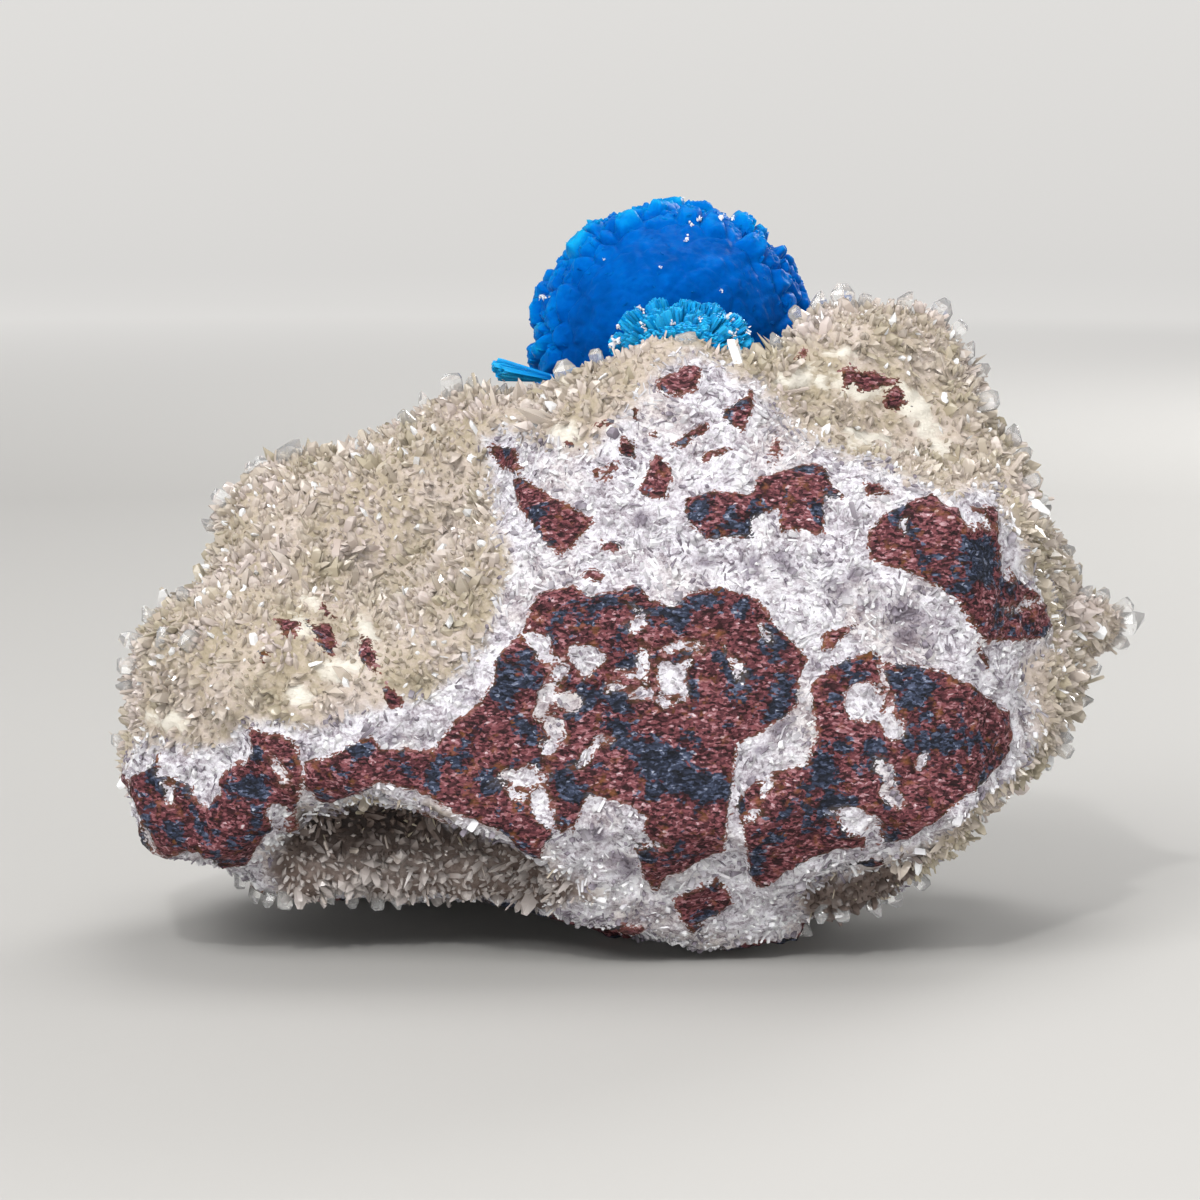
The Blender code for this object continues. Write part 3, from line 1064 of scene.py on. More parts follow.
@dataclass
class LumpSkin:
    """The surface of the whole lump, rock and druse footing together, with the relief of each mineral."""

    nodes: Sequence[str] = ("basalt_matrix", "stilbite_crust", "stilbite_hollow_lining", "stilbite_underside")
    slot: str = "basalt_breccia"
    facet: float = 0.355 * MM
    closing: float = 1.3 * MM  # gaps narrower than twice this are filled
    closing_facet: float = 0.55 * MM
    smoothing: int = 12
    raggedness: float = 0.40 * MM
    clast_raggedness: float = 0.4  # how much of it the clasts' edges have
    clast_size: float = 9.5 * MM  # on the sides that the picture doesn't show
    clast_bend: float = 2.2 * MM
    clast_share: float = 0.35
    clast_depth: float = 4.2  # millimetres inside its edge that a clast's middle counts as there
    cement_between: float = 0.7  # millimetres
    crystal_room: float = 11.0  # pixels left for crystals inside the outline
    rock_room: float = 3.0
    most_trimmed: float = 80.0

    def zones(self, points: np.ndarray, normals: np.ndarray) -> dict[str, np.ndarray]:
        """Tells basalt, slate patches and druse apart.

        Args:
            points: the corners' places.
            normals: the way that they face.

        Returns:
            For each zone, by name, how many millimetres inside it each corner is.
        """
        ragged = [noise_at(points, 1.3 * MM, 2, seed=seed) for seed in (14, 15)]
        ragged = self.raggedness / VIEW.pixel * np.column_stack(ragged)
        pixels = VIEW.to_picture(points) + ragged * self.clast_raggedness
        seen = smooth_step(0.02, 0.22, VIEW.faced(points, normals))
        px_to_mm = VIEW.pixel / MM

        def deepest(spots: Sequence[Spot]) -> np.ndarray:
            """How many millimetres inside any of the spots each corner is."""
            return np.max([inside_spot(pixels + ragged, spot) for spot in spots], axis=0) * px_to_mm

        bare = inside_outline(pixels, BARE_FACE)
        lined = np.max([inside_outline(pixels, outline) for outline in LINED_HOLLOWS], axis=0)
        front_crust = np.maximum(-bare, lined) * px_to_mm
        hollow = lined * px_to_mm
        cluster = deepest(CLUSTERS)
        outlined = np.max([inside_outline(pixels, outline) for outline in CLASTS], axis=0) * px_to_mm
        front_clast = np.minimum(np.maximum(outlined, deepest(ROCK_CHIPS)), -deepest(POCKETS))
        front_clast = np.maximum(front_clast, deepest(DRUSE_CHIPS))
        milk = deepest(MILKY_PLACES) + 0.35 * noise_at(points, 1.4 * MM, 2, seed=12)
        front_slate = np.maximum(deepest(SLATE_PATCHES), noise_at(points, 1.6 * MM, 2, seed=4) - 0.42)
        bend = np.column_stack([noise_at(points, 6 * MM, 2, seed=seed) for seed in (16, 17, 18)])
        bent = points + self.clast_bend * bend
        cells = [noise.voronoi(Vector(place)) for place in bent / self.clast_size]
        gaps = np.array([spread[1] - spread[0] for spread, _ in cells])
        gaps = gaps * self.clast_depth - self.cement_between
        kept = np.array([noise.cell(sites[0] * 3.7) for _, sites in cells]) < self.clast_share
        back_clast = np.where(kept, gaps, -np.abs(gaps) - 0.3)
        edge = 13.0 - 8.0 * smooth_step(12 * MM, 22 * MM, points[:, 0])
        back_crust = (points[:, 2] / MM - edge) / 4.0 + 2.2 * noise_at(points, 8 * MM, 2, seed=2)
        back_clast = np.minimum(back_clast, -back_crust)
        back_slate = 3.0 * (noise_at(points, 2.6 * MM, 2, seed=6) - 0.15)
        return {
            "clast": front_clast * seen + back_clast * (1 - seen),
            "slate": front_slate * seen + back_slate * (1 - seen),
            "crust": front_crust * seen + back_crust * (1 - seen),
            "milk": milk * seen - FAR_OUTSIDE * (1 - seen),
            "hollow": hollow * seen - FAR_OUTSIDE * (1 - seen),
            "cluster": cluster * seen - FAR_OUTSIDE * (1 - seen),
        }

    def trimmed(self, points: np.ndarray) -> np.ndarray:
        """Draws in what would stick out of the outline, with room left for the crystals.

        Args:
            points: the corners' places.

        Returns:
            Their new places.
        """
        pixels = VIEW.to_picture(points)
        depth = inside_outline(pixels, SILHOUETTE)
        deeper = [inside_outline(pixels + step, SILHOUETTE) - depth for step in ((1, 0), (0, 1))]
        inward = unit(np.column_stack(deeper))
        druse = smooth_step(-12, 12, -inside_outline(pixels, BARE_FACE))
        room = self.rock_room + (self.crystal_room - self.rock_room) * druse
        over = np.clip(room - depth, 0, self.most_trimmed) * VIEW.pixel
        up = np.array((0, math.sin(VIEW.elevation), math.cos(VIEW.elevation)))
        return points + over[:, None] * (inward[:, :1] * (1, 0, 0) - inward[:, 1:] * up)

    def heights(self, points: np.ndarray, zones: dict[str, np.ndarray]) -> np.ndarray:
        """The relief, in millimetres for each mineral and then in metres for all of it.

        Args:
            points: the corners' places.
            zones: how far inside each zone they are.

        Returns:
            How far each corner stands out of the smooth bulk.
        """
        broad = 0.60 * noise_at(points, 7 * MM, 2, seed=1) + 0.28 * noise_at(points, 2.4 * MM, 2, seed=3)
        clast = smooth_step(-0.12, 0.16, zones["clast"])
        crust = smooth_step(-0.5, 0.8, zones["crust"]) * (1 - clast)
        cement = (1 - clast) * (1 - crust)
        stretched = points * (1.0, 0.6, 2.2) + points[:, :1] * (0.0, 0.0, 0.8)
        streaks = noise_at(stretched, 0.9 * MM, 3, seed=5)
        grains = noise_at(points, 0.7 * MM, 2, seed=7)
        lumps = noise_at(points, 1.5 * MM, 2, seed=8)
        shaped = broad + clast * (0.24 + 0.20 * streaks + 0.10 * grains)
        shaped += cement * (0.30 * grains + 0.22 * lumps - 0.08)
        shaped += crust * (0.35 * lumps + 0.15 * grains + 0.10) + 0.25 * smooth_step(-0.2, 0.5, zones["milk"])
        return shaped * MM

    def build(self) -> Piece:
        """Makes the skin, which carries its zones as attributes.

        Returns:
            The skin.
        """
        piece = remeshed(merged_copy("breccia", self.nodes), self.closing_facet, 0)
        for shift in (self.closing, -self.closing):
            points, normals = read(piece.data)
            write(piece.data, points + normals * shift, floor=False)
            remeshed(piece, self.closing_facet, 3)
        write(piece.data, self.trimmed(read(piece.data)[0]), floor=False)
        remeshed(piece, self.facet, self.smoothing)
        points, normals = read(piece.data)
        zones = self.zones(points, normals)
        write(piece.data, points + normals * self.heights(points, zones)[:, None])
        for name, values in zones.items():
            store(piece.data, name, values)
        piece.data.shade_smooth()
        return piece

    def dress(self, piece: Piece, material: bpy.types.Material) -> Piece:
        """Gives the skin its finish in the place of its nodes."""
        return dress(piece, material, self.slot, self.nodes)


@dataclass
class Ground:
    """Places scattered evenly over a skin, for crystals to grow from."""

    points: np.ndarray
    normals: np.ndarray
    zones: dict[str, np.ndarray]

    @classmethod
    def on(cls, piece: Piece, spacing: float, seed: int) -> "Ground":
        """Scatters places over a skin.

        Args:
            piece: the skin.
            spacing: how near two places may be.
            seed: which scatter of the many.

        Returns:
            The places.
        """
        found = cls._scattered(piece, spacing, np.random.default_rng(seed))
        return found.picked(apart(found.points, spacing))

    @staticmethod
    def _scattered(piece: Piece, spacing: float, rng: np.random.Generator) -> "Ground":
        """Random places on a skin, a few times as many as fit.

        Args:
            piece: the skin.
            spacing: how near two places may be in the end.
            rng: where the places are drawn from.

        Returns:
            The places.
        """
        mesh = piece.data
        mesh.calc_loop_triangles()
        corners = np.empty(len(mesh.loop_triangles) * 3, np.int32)
        mesh.loop_triangles.foreach_get("vertices", corners)
        corners = corners.reshape(-1, 3)
        points, normals = read(mesh)
        zones = {}
        for name in ("clast", "crust", "milk", "hollow", "cluster"):
            values = np.empty(len(points), np.float32)
            mesh.attributes[name].data.foreach_get("value", values)
            zones[name] = values
        first, second, third = points[corners[:, 0]], points[corners[:, 1]], points[corners[:, 2]]
        areas = np.linalg.norm(np.cross(second - first, third - first), axis=1) / 2
        count = int(PLACES_TRIED * areas.sum() / spacing ** 2)
        chosen = rng.choice(len(areas), count, p=areas / areas.sum())
        shares = rng.random((count, 2))
        over = shares.sum(axis=1) > 1
        shares[over] = 1 - shares[over]
        weights = np.column_stack([1 - shares.sum(axis=1), shares])[:, :, None]
        of_corner = corners[chosen]
        place = (points[of_corner] * weights).sum(axis=1)
        facing = unit((normals[of_corner] * weights).sum(axis=1))
        spread = {name: (values[of_corner] * weights[:, :, 0]).sum(axis=1) for name, values in zones.items()}
        return Ground(place, facing, spread)

    def picked(self, chosen: np.ndarray) -> "Ground":
        """The same for some of the places."""
        zones = {name: values[chosen] for name, values in self.zones.items()}
        return Ground(self.points[chosen], self.normals[chosen], zones)


def apart(points: np.ndarray, spacing: float) -> np.ndarray:
    """Picks points that keep their distance.

    Args:
        points: the points, in random order.
        spacing: the least distance between two that are kept.

    Returns:
        The numbers of those kept.
    """
    cells: dict[tuple[int, int, int], list[int]] = {}
    keys = np.floor(points / spacing).astype(int)
    around = [(x, y, z) for x in (-1, 0, 1) for y in (-1, 0, 1) for z in (-1, 0, 1)]
    kept = []
    for number, ((x, y, z), place) in enumerate(zip(keys.tolist(), points.tolist())):
        near = (other for dx, dy, dz in around for other in cells.get((x + dx, y + dy, z + dz), ()))
        if all(math.dist(place, points[other]) >= spacing for other in near):
            cells.setdefault((x, y, z), []).append(number)
            kept.append(number)
    return np.array(kept)


# Room that the rosettes take up, free of other crystals: its middle and its radius.
ROSETTE_ROOMS = (
    ((3.1 * MM, 6.5 * MM, 39.1 * MM), 9.3 * MM), ((3.6 * MM, -6.4 * MM, 38.4 * MM), 4.2 * MM),
    ((-6.6 * MM, -1.0 * MM, 37.2 * MM), 2.2 * MM), ((-4.8 * MM, -1.0 * MM, 37.4 * MM), 2.2 * MM),
    ((24.6 * MM, 9.2 * MM, 8.0 * MM), 3.0 * MM),
)


@dataclass
class Druse:
    """The carpet of stilbite crystals: small blades in bunches that splay from points under the skin."""

    spacing: float = 0.37 * MM
    bunch_spacing: float = 3.0 * MM
    bunch_depth: float = 3.0 * MM
    upright: float = 0.55  # how much a crystal keeps to the skin's normal
    splayed: float = 0.75  # how much it keeps to its bunch
    stray: float = 0.50  # how much it does neither
    sunk: float = 0.42  # the share of a crystal that is under the skin
    length: float = 0.74 * MM
    width: float = 0.38 * MM
    thickness: float = 0.22 * MM
    size_spread: float = 0.38
    in_hollow: float = 1.12  # how much larger the crystals in the hollows are
    pearly: float = 0.05  # the share of crystals painted pure white as painted glints, light thrown back off their faces
    hollow_shade: tuple[float, float] = (6.5 * MM, 9.5 * MM)  # from where to where up a hollow the crystals are painted darker, as painted shade
    shaded_from: float = 10 * MM  # to the right of this the hollow's lining is painted dark all over, as painted shade
    batch: int = 2000  # crystals whose bunches are looked up at once
    seed: int = 11

    def grown(self, ground: Ground) -> tuple[Growth, np.ndarray]:
        """Crystals for every place where druse grows.

        Args:
            ground: the places, clasts and bare rock among them.

        Returns:
            The crowd, and which of its crystals line a hollow.
        """
        rng = np.random.default_rng(self.seed)
        chance = smooth_step(-0.6, 0.7, ground.zones["crust"])
        chance *= 1 - smooth_step(-0.35, 0.05, ground.zones["clast"])
        chance *= 1 - smooth_step(-0.3, 0.2, ground.zones["milk"])
        for middle, clear_radius in ROSETTE_ROOMS:
            chance[np.linalg.norm(ground.points - middle, axis=1) < clear_radius] = 0
        ground = ground.picked(np.flatnonzero(rng.random(len(chance)) < chance))
        count = len(ground.points)
        bunches = ground.picked(apart(ground.points, self.bunch_spacing))
        roots = bunches.points - bunches.normals * self.bunch_depth
        nearest = np.empty(count, int)
        for start in range(0, count, self.batch):
            some = ground.points[start:start + self.batch]
            away = np.linalg.norm(some[:, None, :] - bunches.points[None, :, :], axis=2)
            nearest[start:start + self.batch] = away.argmin(axis=1)
        splay = unit(ground.points - roots[nearest])
        directions = self.upright * ground.normals + self.splayed * splay
        directions = unit(directions + rng.normal(0, self.stray, (count, 3)))
        inner = smooth_step(-0.2, 1.2, ground.zones["crust"])
        vigour = 1 + 0.35 * noise_at(ground.points, 5 * MM, 1, seed=21)
        scale = rng.lognormal(0, self.size_spread, count) * (0.55 + 0.45 * inner) * vigour
        lining = ground.zones["hollow"] > 0
        scale *= np.where(lining, self.in_hollow, 1.0)
        sizes = np.column_stack([
            self.width * scale * rng.uniform(0.7, 1.25, count),
            self.thickness * scale * rng.uniform(0.75, 1.4, count),
            self.length * scale * rng.uniform(0.75, 1.3, count),
        ])
        feet = ground.points - directions * (self.sunk * sizes[:, 2:3])
        feet[:, 2] = np.maximum(feet[:, 2], 0.2 * MM)
        keep = feet[:, 2] + directions[:, 2] * sizes[:, 2] >= 0.25 * MM
        patches = noise_at(ground.points, 3.5 * MM, 2, seed=22)
        tints = np.clip(0.35 * rng.random(count) + 0.28 + 0.75 * patches, 0, 0.9)
        # Painted glints: a share of the crystals is painted pure white, as light thrown back off their faces.
        tints[rng.random(count) < self.pearly] = 1.0
        # Painted shade: the crystals that line a hollow darken towards its top, and all over the right-hand
        # hollow.
        depth = smooth_step(*self.hollow_shade, ground.points[:, 2] + 0.8 * MM * rng.normal(0, 1, count))
        depth = np.maximum(depth, 0.75 * (ground.points[:, 0] > self.shaded_from))
        tints[lining] = np.clip(0.95 - depth - 0.3 * rng.random(count), 0, 0.95)[lining]
        growth = Growth(feet, directions, rng.uniform(0, math.tau, count), sizes, tints)
        return growth.picked(keep), lining[keep]


class Tall(NamedTuple):
    """A crystal that stands out: its pixel, its length and width in millimetres and its lean in degrees."""

    x: float
    y: float
    length: float
    width: float
    lean: float


# The clear crystals that stand out, most of them on the outline. A lean of 0 is straight up.
TALL_CRYSTALS = rows(
    Tall,
    (290, 458, 2.0, 1.5, 10), (262, 470, 1.5, 0.9, -10), (222, 500, 1.8, 0.9, -60),
    (214, 528, 1.6, 0.8, -70), (238, 462, 1.3, 0.8, -20), (448, 386, 1.9, 1.3, 5),
    (428, 402, 1.5, 0.7, -35), (466, 384, 1.6, 0.8, 15), (412, 418, 1.4, 0.7, -55), (500, 392, 1.2, 0.7, 0),
    (558, 362, 1.9, 1.4, -5), (592, 358, 1.5, 0.8, -15), (684, 342, 1.0, 1.3, 5), (778, 342, 1.6, 0.8, -30),
    (800, 322, 1.7, 0.9, -25), (820, 308, 1.6, 1.0, -15), (840, 300, 2.1, 1.5, 0), (862, 302, 1.3, 0.8, 15),
    (908, 304, 1.6, 0.9, 5), (940, 314, 2.0, 1.4, 20), (952, 334, 1.6, 0.9, 35), (968, 352, 1.5, 0.9, 50),
    (980, 372, 1.6, 0.9, 60), (985, 400, 1.9, 1.2, 75), (1008, 440, 1.8, 1.2, 40),
    (1020, 456, 1.6, 0.9, 55), (1036, 480, 1.4, 0.8, 60), (1050, 510, 1.4, 0.8, 65),
    (1064, 550, 1.3, 0.8, 75), (1070, 575, 1.4, 0.8, 70), (1082, 596, 1.3, 0.8, 10),
    (1102, 602, 1.5, 0.9, 25), (1122, 608, 1.5, 1.0, 50), (1130, 625, 2.0, 1.5, 85),
    (1122, 642, 1.4, 0.9, 120), (1088, 668, 1.4, 0.8, 110), (1084, 700, 1.5, 0.8, 100),
    (1070, 735, 1.4, 0.8, 110), (1060, 752, 1.5, 0.9, 120), (148, 608, 1.5, 0.9, -50),
    (132, 640, 1.7, 1.0, -75), (126, 665, 1.6, 1.0, -85), (128, 690, 1.5, 0.8, -100),
    (180, 592, 1.3, 0.8, -20), (120, 740, 1.3, 0.8, -95), (165, 640, 0.9, 1.3, -60),
    (186, 640, 1.0, 1.3, -40), (236, 890, 1.2, 0.7, 170), (252, 893, 1.2, 0.7, 180),
    (270, 893, 1.3, 0.8, 185), (284, 893, 1.4, 0.9, 175), (330, 893, 1.2, 0.8, 180),
    (352, 896, 1.1, 0.8, 170), (376, 898, 1.3, 0.8, 175), (398, 898, 1.2, 0.7, 190),
    (820, 910, 1.4, 0.8, 190), (845, 905, 1.5, 0.9, 180), (872, 902, 1.5, 0.9, 175),
    (896, 894, 1.4, 0.9, 160), (918, 880, 1.4, 0.9, 140), (798, 925, 1.4, 0.9, 150),
)


@dataclass
class TallCrystals:
    """The crystals that stand out, each at its own place on the skin."""

    crystals: Sequence[Tall]
    forward: float = 0.25
    sunk: float = 0.35
    seed: int = 5

    def grown(self, ground: Ground) -> Growth:
        """Roots each crystal at the place on the skin that shows nearest to its pixel.

        Args:
            ground: places all over the skin.

        Returns:
            The crystals.
        """
        rng = np.random.default_rng(self.seed)
        faced = VIEW.faced(ground.points, ground.normals)
        seen = ground.picked(np.flatnonzero(faced > -0.15))
        pixels = VIEW.to_picture(seen.points)
        nearness = (seen.points - np.array(VIEW.place)) @ np.array(VIEW.back)
        feet, directions, sizes = [], [], []
        for tall in self.crystals:
            away = np.hypot(*(pixels - (tall.x, tall.y)).T)
            best = np.argmin(away - 0.25 * nearness / VIEW.pixel * 0.2)
            turn = math.radians(tall.lean)
            wanted = np.array([math.sin(turn), 0.0, math.cos(turn)]) - self.forward * np.array([0, 1.0, 0])
            direction = unit((wanted + 0.35 * seen.normals[best])[None, :])[0]
            feet.append(seen.points[best] - direction * tall.length * MM * self.sunk)
            directions.append(direction)
            sizes.append((tall.width * 1.25 * MM, tall.width * 0.7 * MM, tall.length * 1.1 * MM))
        count = len(feet)
        turns = math.pi / 2 + rng.uniform(-0.5, 0.5, count)
        return Growth(np.array(feet), np.array(directions), turns, np.array(sizes), rng.random(count))


@dataclass
class CementLaths:
    """Felted zeolite laths that lie on the cement, in fans a few millimetres across."""

    spacing: float = 0.36 * MM
    length: float = 0.50 * MM
    width: float = 0.13 * MM
    thickness: float = 0.09 * MM
    lift: float = 0.42
    seed: int = 17

    def grown(self, ground: Ground) -> Growth:
        """Laths for the bare cement, each nearly flat on it.

        Args:
            ground: places all over the skin.

        Returns:
            The crowd.
        """
        rng = np.random.default_rng(self.seed)
        bare = (ground.zones["clast"] < -0.12) & (ground.zones["crust"] < 0.4)
        patchy = 0.75 + 0.9 * noise_at(ground.points, 1.6 * MM, 1, seed=34)
        ground = ground.picked(np.flatnonzero(bare & (rng.random(len(bare)) < patchy)))
        count = len(ground.points)
        swirl = np.column_stack([noise_at(ground.points, 1.8 * MM, 1, seed=seed) for seed in (31, 32, 33)])
        flat = swirl * 2 + rng.normal(0, 0.24, (count, 3))
        flat -= (flat * ground.normals).sum(axis=1, keepdims=True) * ground.normals
        lift = self.lift * rng.uniform(0.2, 1.4, count)[:, None]
        directions = unit(unit(flat) + lift * ground.normals)
        scale = rng.lognormal(0, 0.3, count)
        sizes = np.column_stack([
            self.width * scale, self.thickness * scale, self.length * scale * rng.uniform(0.7, 1.3, count)])
        feet = ground.points - directions * sizes[:, 2:3] * 0.35
        keep = feet[:, 2] + directions[:, 2] * sizes[:, 2] > 0.15 * MM
        clouds = 0.42 + 1.1 * noise_at(ground.points, 1.2 * MM, 2, seed=35)
        clouds -= 0.45 * smooth_step(-0.4, 0.3, ground.zones["cluster"])
        tints = np.clip(clouds + rng.normal(0, 0.15, count), 0, 1)
        growth = Growth(feet, directions, rng.uniform(0, math.tau, count), sizes, tints)
        return growth.picked(keep & (feet[:, 2] > 0.1 * MM))


def spread_directions(count: int, stray: float, rng: np.random.Generator) -> np.ndarray:
    """Directions spread evenly all round, along a spiral of golden angles that they stray from a little.

    Args:
        count: how many.
        stray: how far each strays, in radians.
        rng: where the straying is drawn from.

    Returns:
        The directions, one a row.
    """
    numbers = np.arange(count)
    level = 1 - 2 * (numbers + 0.5) / count
    ring = np.sqrt(1 - level ** 2)
    turn = math.pi * (3 - math.sqrt(5)) * numbers
    spiral = np.column_stack([ring * np.cos(turn), ring * np.sin(turn), level])
    return unit(spiral + rng.normal(0, stray, (count, 3)))


def two_nearest(directions: np.ndarray, heads: np.ndarray) -> tuple[np.ndarray, np.ndarray]:
    """Finds each direction's nearest head.

    Args:
        directions: one a row.
        heads: the directions to choose from.

    Returns:
        The nearest head's number, and how much nearer it is than the next one.
    """
    tree = KDTree(len(heads))
    for number, head in enumerate(heads):
        tree.insert(head, number)
    tree.balance()
    found = [tree.find_n(direction, 2) for direction in directions]
    return np.array([pair[0][1] for pair in found]), np.array([pair[1][2] - pair[0][2] for pair in found])


@dataclass
class Ball:
    """The large rosette: blades grown into one dense ball, whose bunches stand out as lumps at its rim."""

    node: str = "cavansite_rosette_large"
    centre: tuple[float, float, float] = (3.3 * MM, 6.5 * MM, 39.2 * MM)
    radius: float = 8.75 * MM
    bunches: int = 330  # over the whole ball, so each is about 1.8 mm across
    ends: int = 3600  # blades' ends over the whole ball, each about half a millimetre across
    rise: float = 1.25 * MM
    cleft: float = 0.075  # radians from the bottom of the cleft between two bunches to their tops
    slope: float = 0.26  # of the blades' ends
    step: float = 0.06 * MM  # from one blade's end to the next
    length: float = 1.2 * MM
    seed: int = 3

    def __post_init__(self) -> None:
        """Draws the bunches and the blades' ends."""
        rng = np.random.default_rng(self.seed)
        self.heads = spread_directions(self.bunches, 0.05, rng)
        self.lift = rng.uniform(0.25, 1.0, self.bunches)
        self.end_heads = spread_directions(self.ends, 0.014, rng)
        self.slopes = rng.normal(0, self.slope, self.end_heads.shape)
        self.steps = rng.uniform(-0.5, 0.5, self.ends) * self.step

    def standing(self, directions: np.ndarray) -> np.ndarray:
        """How far the bunches stand out in a direction: low on the face, full at the rim and the back."""
        off_face = np.arccos(np.clip(directions @ np.array(VIEW.back), -1, 1))
        return 0.10 + 0.90 * smooth_step(0.85, 1.18, off_face)

    def reach(self, directions: np.ndarray) -> np.ndarray:
        """How far the surface is from the ball's middle.

        Args:
            directions: from the middle, one a row.

        Returns:
            The distance in each direction, in metres.
        """
        bunch, off_cleft = two_nearest(directions, self.heads)
        end, _ = two_nearest(directions, self.end_heads)
        standing = self.standing(directions)
        rounded = np.sqrt(smooth_step(0.0, self.cleft, off_cleft))
        tilted = ((directions - self.end_heads[end]) * self.slopes[end]).sum(axis=1) * self.radius
        facet = tilted + self.steps[end]
        grains = 0.07 * MM * noise_at(directions * self.radius, 0.45 * MM, 2, seed=43)
        grains += 0.10 * MM * noise_at(directions * self.radius, 1.4 * MM, 2, seed=44)
        bulk = self.radius + self.rise * standing * self.lift[bunch] * rounded
        return bulk + (0.15 + 0.85 * standing) * facet + (1 - 0.5 * standing) * grains

    def painted_light_and_tone(self, points: np.ndarray) -> np.ndarray:
        """How bright the blue is, as painted light and shade: deepest low on the face and in the clefts,
        brightest where bunches stand out, towards the rim as the camera sees it and on the upper left, with a
        random tone.

        Args:
            points: places on the ball.

        Returns:
            For each, from about 0 where it is deepest to 1.
        """
        away = points - np.array(self.centre)
        directions = unit(away)
        height = (np.linalg.norm(away, axis=1) - self.radius) / self.rise
        # Painted light: brighter at the rim as the camera sees it, where bunches stand out and on the upper
        # left; painted shade in the clefts.
        up = directions @ np.array((-0.30, 0.0, 0.95))
        painted_light_and_tone = 0.20 + 0.18 * smooth_step(0.2, 1.0, self.standing(directions))
        painted_light_and_tone += 0.42 * np.clip(height, -0.3, 1)
        return painted_light_and_tone + 0.26 * (up - 0.5) + 0.22 * noise_at(points, 2.4 * MM, 3, seed=10)

    def build_heart(self) -> Piece:
        """Makes the dense ball, whose surface is the blades' ends.

        Returns:
            The ball.
        """
        bm = bmesh.new()
        at_centre = Matrix.Translation(self.centre)
        bmesh.ops.create_icosphere(bm, subdivisions=7, radius=self.radius, matrix=at_centre)
        heart = finished("cavansite_ball", bm)
        directions = unit(read(heart.data)[0] - np.array(self.centre))
        points = np.array(self.centre) + directions * self.reach(directions)[:, None]
        write(heart.data, points)
        # The ball's painted light and shade, with its random tone.
        store(heart.data, "painted_light_and_tone", self.painted_light_and_tone(points))
        heart.data.shade_smooth()
        return heart

    def build_blades(self) -> Piece:
        """Grows the blades that reach a little past the rest, most of them at the rim.

        Returns:
            The blades.
        """
        rng = np.random.default_rng(self.seed)
        chosen = rng.random(self.ends) < 0.03 + 0.30 * self.standing(self.end_heads)
        directions = self.end_heads[chosen]
        count = len(directions)
        standing = self.standing(directions)
        past = rng.uniform(0.01, 0.13, count) * (0.35 + 0.65 * standing) * MM
        leaning = unit(directions + rng.normal(0, 0.12, (count, 3)))
        tips = np.array(self.centre) + directions * (self.reach(directions) + past)[:, None]
        sizes = np.column_stack([
            rng.uniform(0.34, 0.62, count) * MM, rng.uniform(0.20, 0.38, count) * MM,
            np.full(count, self.length)])
        feet = tips - leaning * self.length
        growth = Growth(feet, leaning, rng.uniform(0, math.tau, count), sizes, rng.random(count))
        blades = grow("cavansite_ball_blades", [Habit.BLOCK, Habit.TABLET], growth, sides=4)
        points = read(blades.data)[0]
        tint = np.empty(len(points), np.float32)
        blades.data.attributes["tint"].data.foreach_get("value", tint)
        # The blades' painted light and shade, with a random tone of their own.
        store(blades.data, "painted_light_and_tone", self.painted_light_and_tone(points) + 0.16 * (tint - 0.5))
        return blades


# White zeolite that sits on the cavansite, painted pure white, standing also for painted glints of light off
# the cavansite: the place and half-size of each cluster in pixels.
SPECKS = rows(
    Spot,
    (699, 219, 4, 4), (691, 224, 3, 3), (688, 239, 4, 4), (721, 218, 4, 3), (732, 220, 4, 4),
    (683, 200, 3, 3), (721, 291, 2, 2), (544, 297, 6, 4), (642, 308, 5, 4), (644, 327, 4, 5),
    (614, 343, 7, 8), (618, 328, 4, 4), (730, 316, 6, 6), (734, 335, 5, 5), (748, 332, 4, 4),
    (700, 318, 3, 3), (672, 322, 3, 3), (502, 381, 3, 5), (660, 268, 2, 2), (604, 259, 2, 2),
)


@dataclass
class Specks:
    """Clusters of white zeolite blades, painted pure white as zeolite and as painted glints, each grown on
    whatever piece shows at its pixel.
    """

    specks: Sequence[Spot]
    blades: int = 7
    seed: int = 41

    def grown(self, pieces: Sequence[Piece]) -> Growth:
        """Finds each cluster's place along the camera's line of sight and grows its blades there.

        Args:
            pieces: what the clusters may grow on.

        Returns:
            The blades.
        """
        rng = np.random.default_rng(self.seed)
        graph = bpy.context.evaluated_depsgraph_get()
        trees = [BVHTree.FromObject(piece, graph) for piece in pieces]
        feet, directions, sizes = [], [], []
        for speck in self.specks:
            for _ in range(self.blades):
                stray = rng.normal(0, 0.45, 2) * (speck.half_length, speck.half_width)
                sight = VIEW.line_of_sight(speck.x + stray[0], speck.y + stray[1])
                casts = [tree.ray_cast(VIEW.place, sight) for tree in trees]
                hits = [hit for hit in casts if hit[0] is not None]
                if not hits:
                    continue
                place, normal, _, _ = min(hits, key=lambda hit: hit[3])
                direction = unit((np.array(normal) + rng.normal(0, 0.5, 3))[None, :])[0]
                size = speck.half_length * VIEW.pixel * rng.uniform(0.7, 1.2)
                feet.append(np.array(place) - direction * size * 0.5)
                directions.append(direction)
                sizes.append((size * 0.7, size * 0.35, size * 1.1))
        count = len(feet)
        turns = rng.uniform(0, math.tau, count)
        # A tint of 1: pure white, for the zeolite and for painted glints.
        return Growth(np.array(feet), np.array(directions), turns, np.array(sizes), np.ones(count))


class Bunch(NamedTuple):
    """A fan of blades: the way it points in the picture, its tilt to the camera, its reach and its spread."""

    lean: float  # degrees from straight up, clockwise
    tilt: float  # degrees towards the camera
    reach: float  # millimetres from the root to the ends
    spread: float  # degrees from its middle to its side
    blades: int


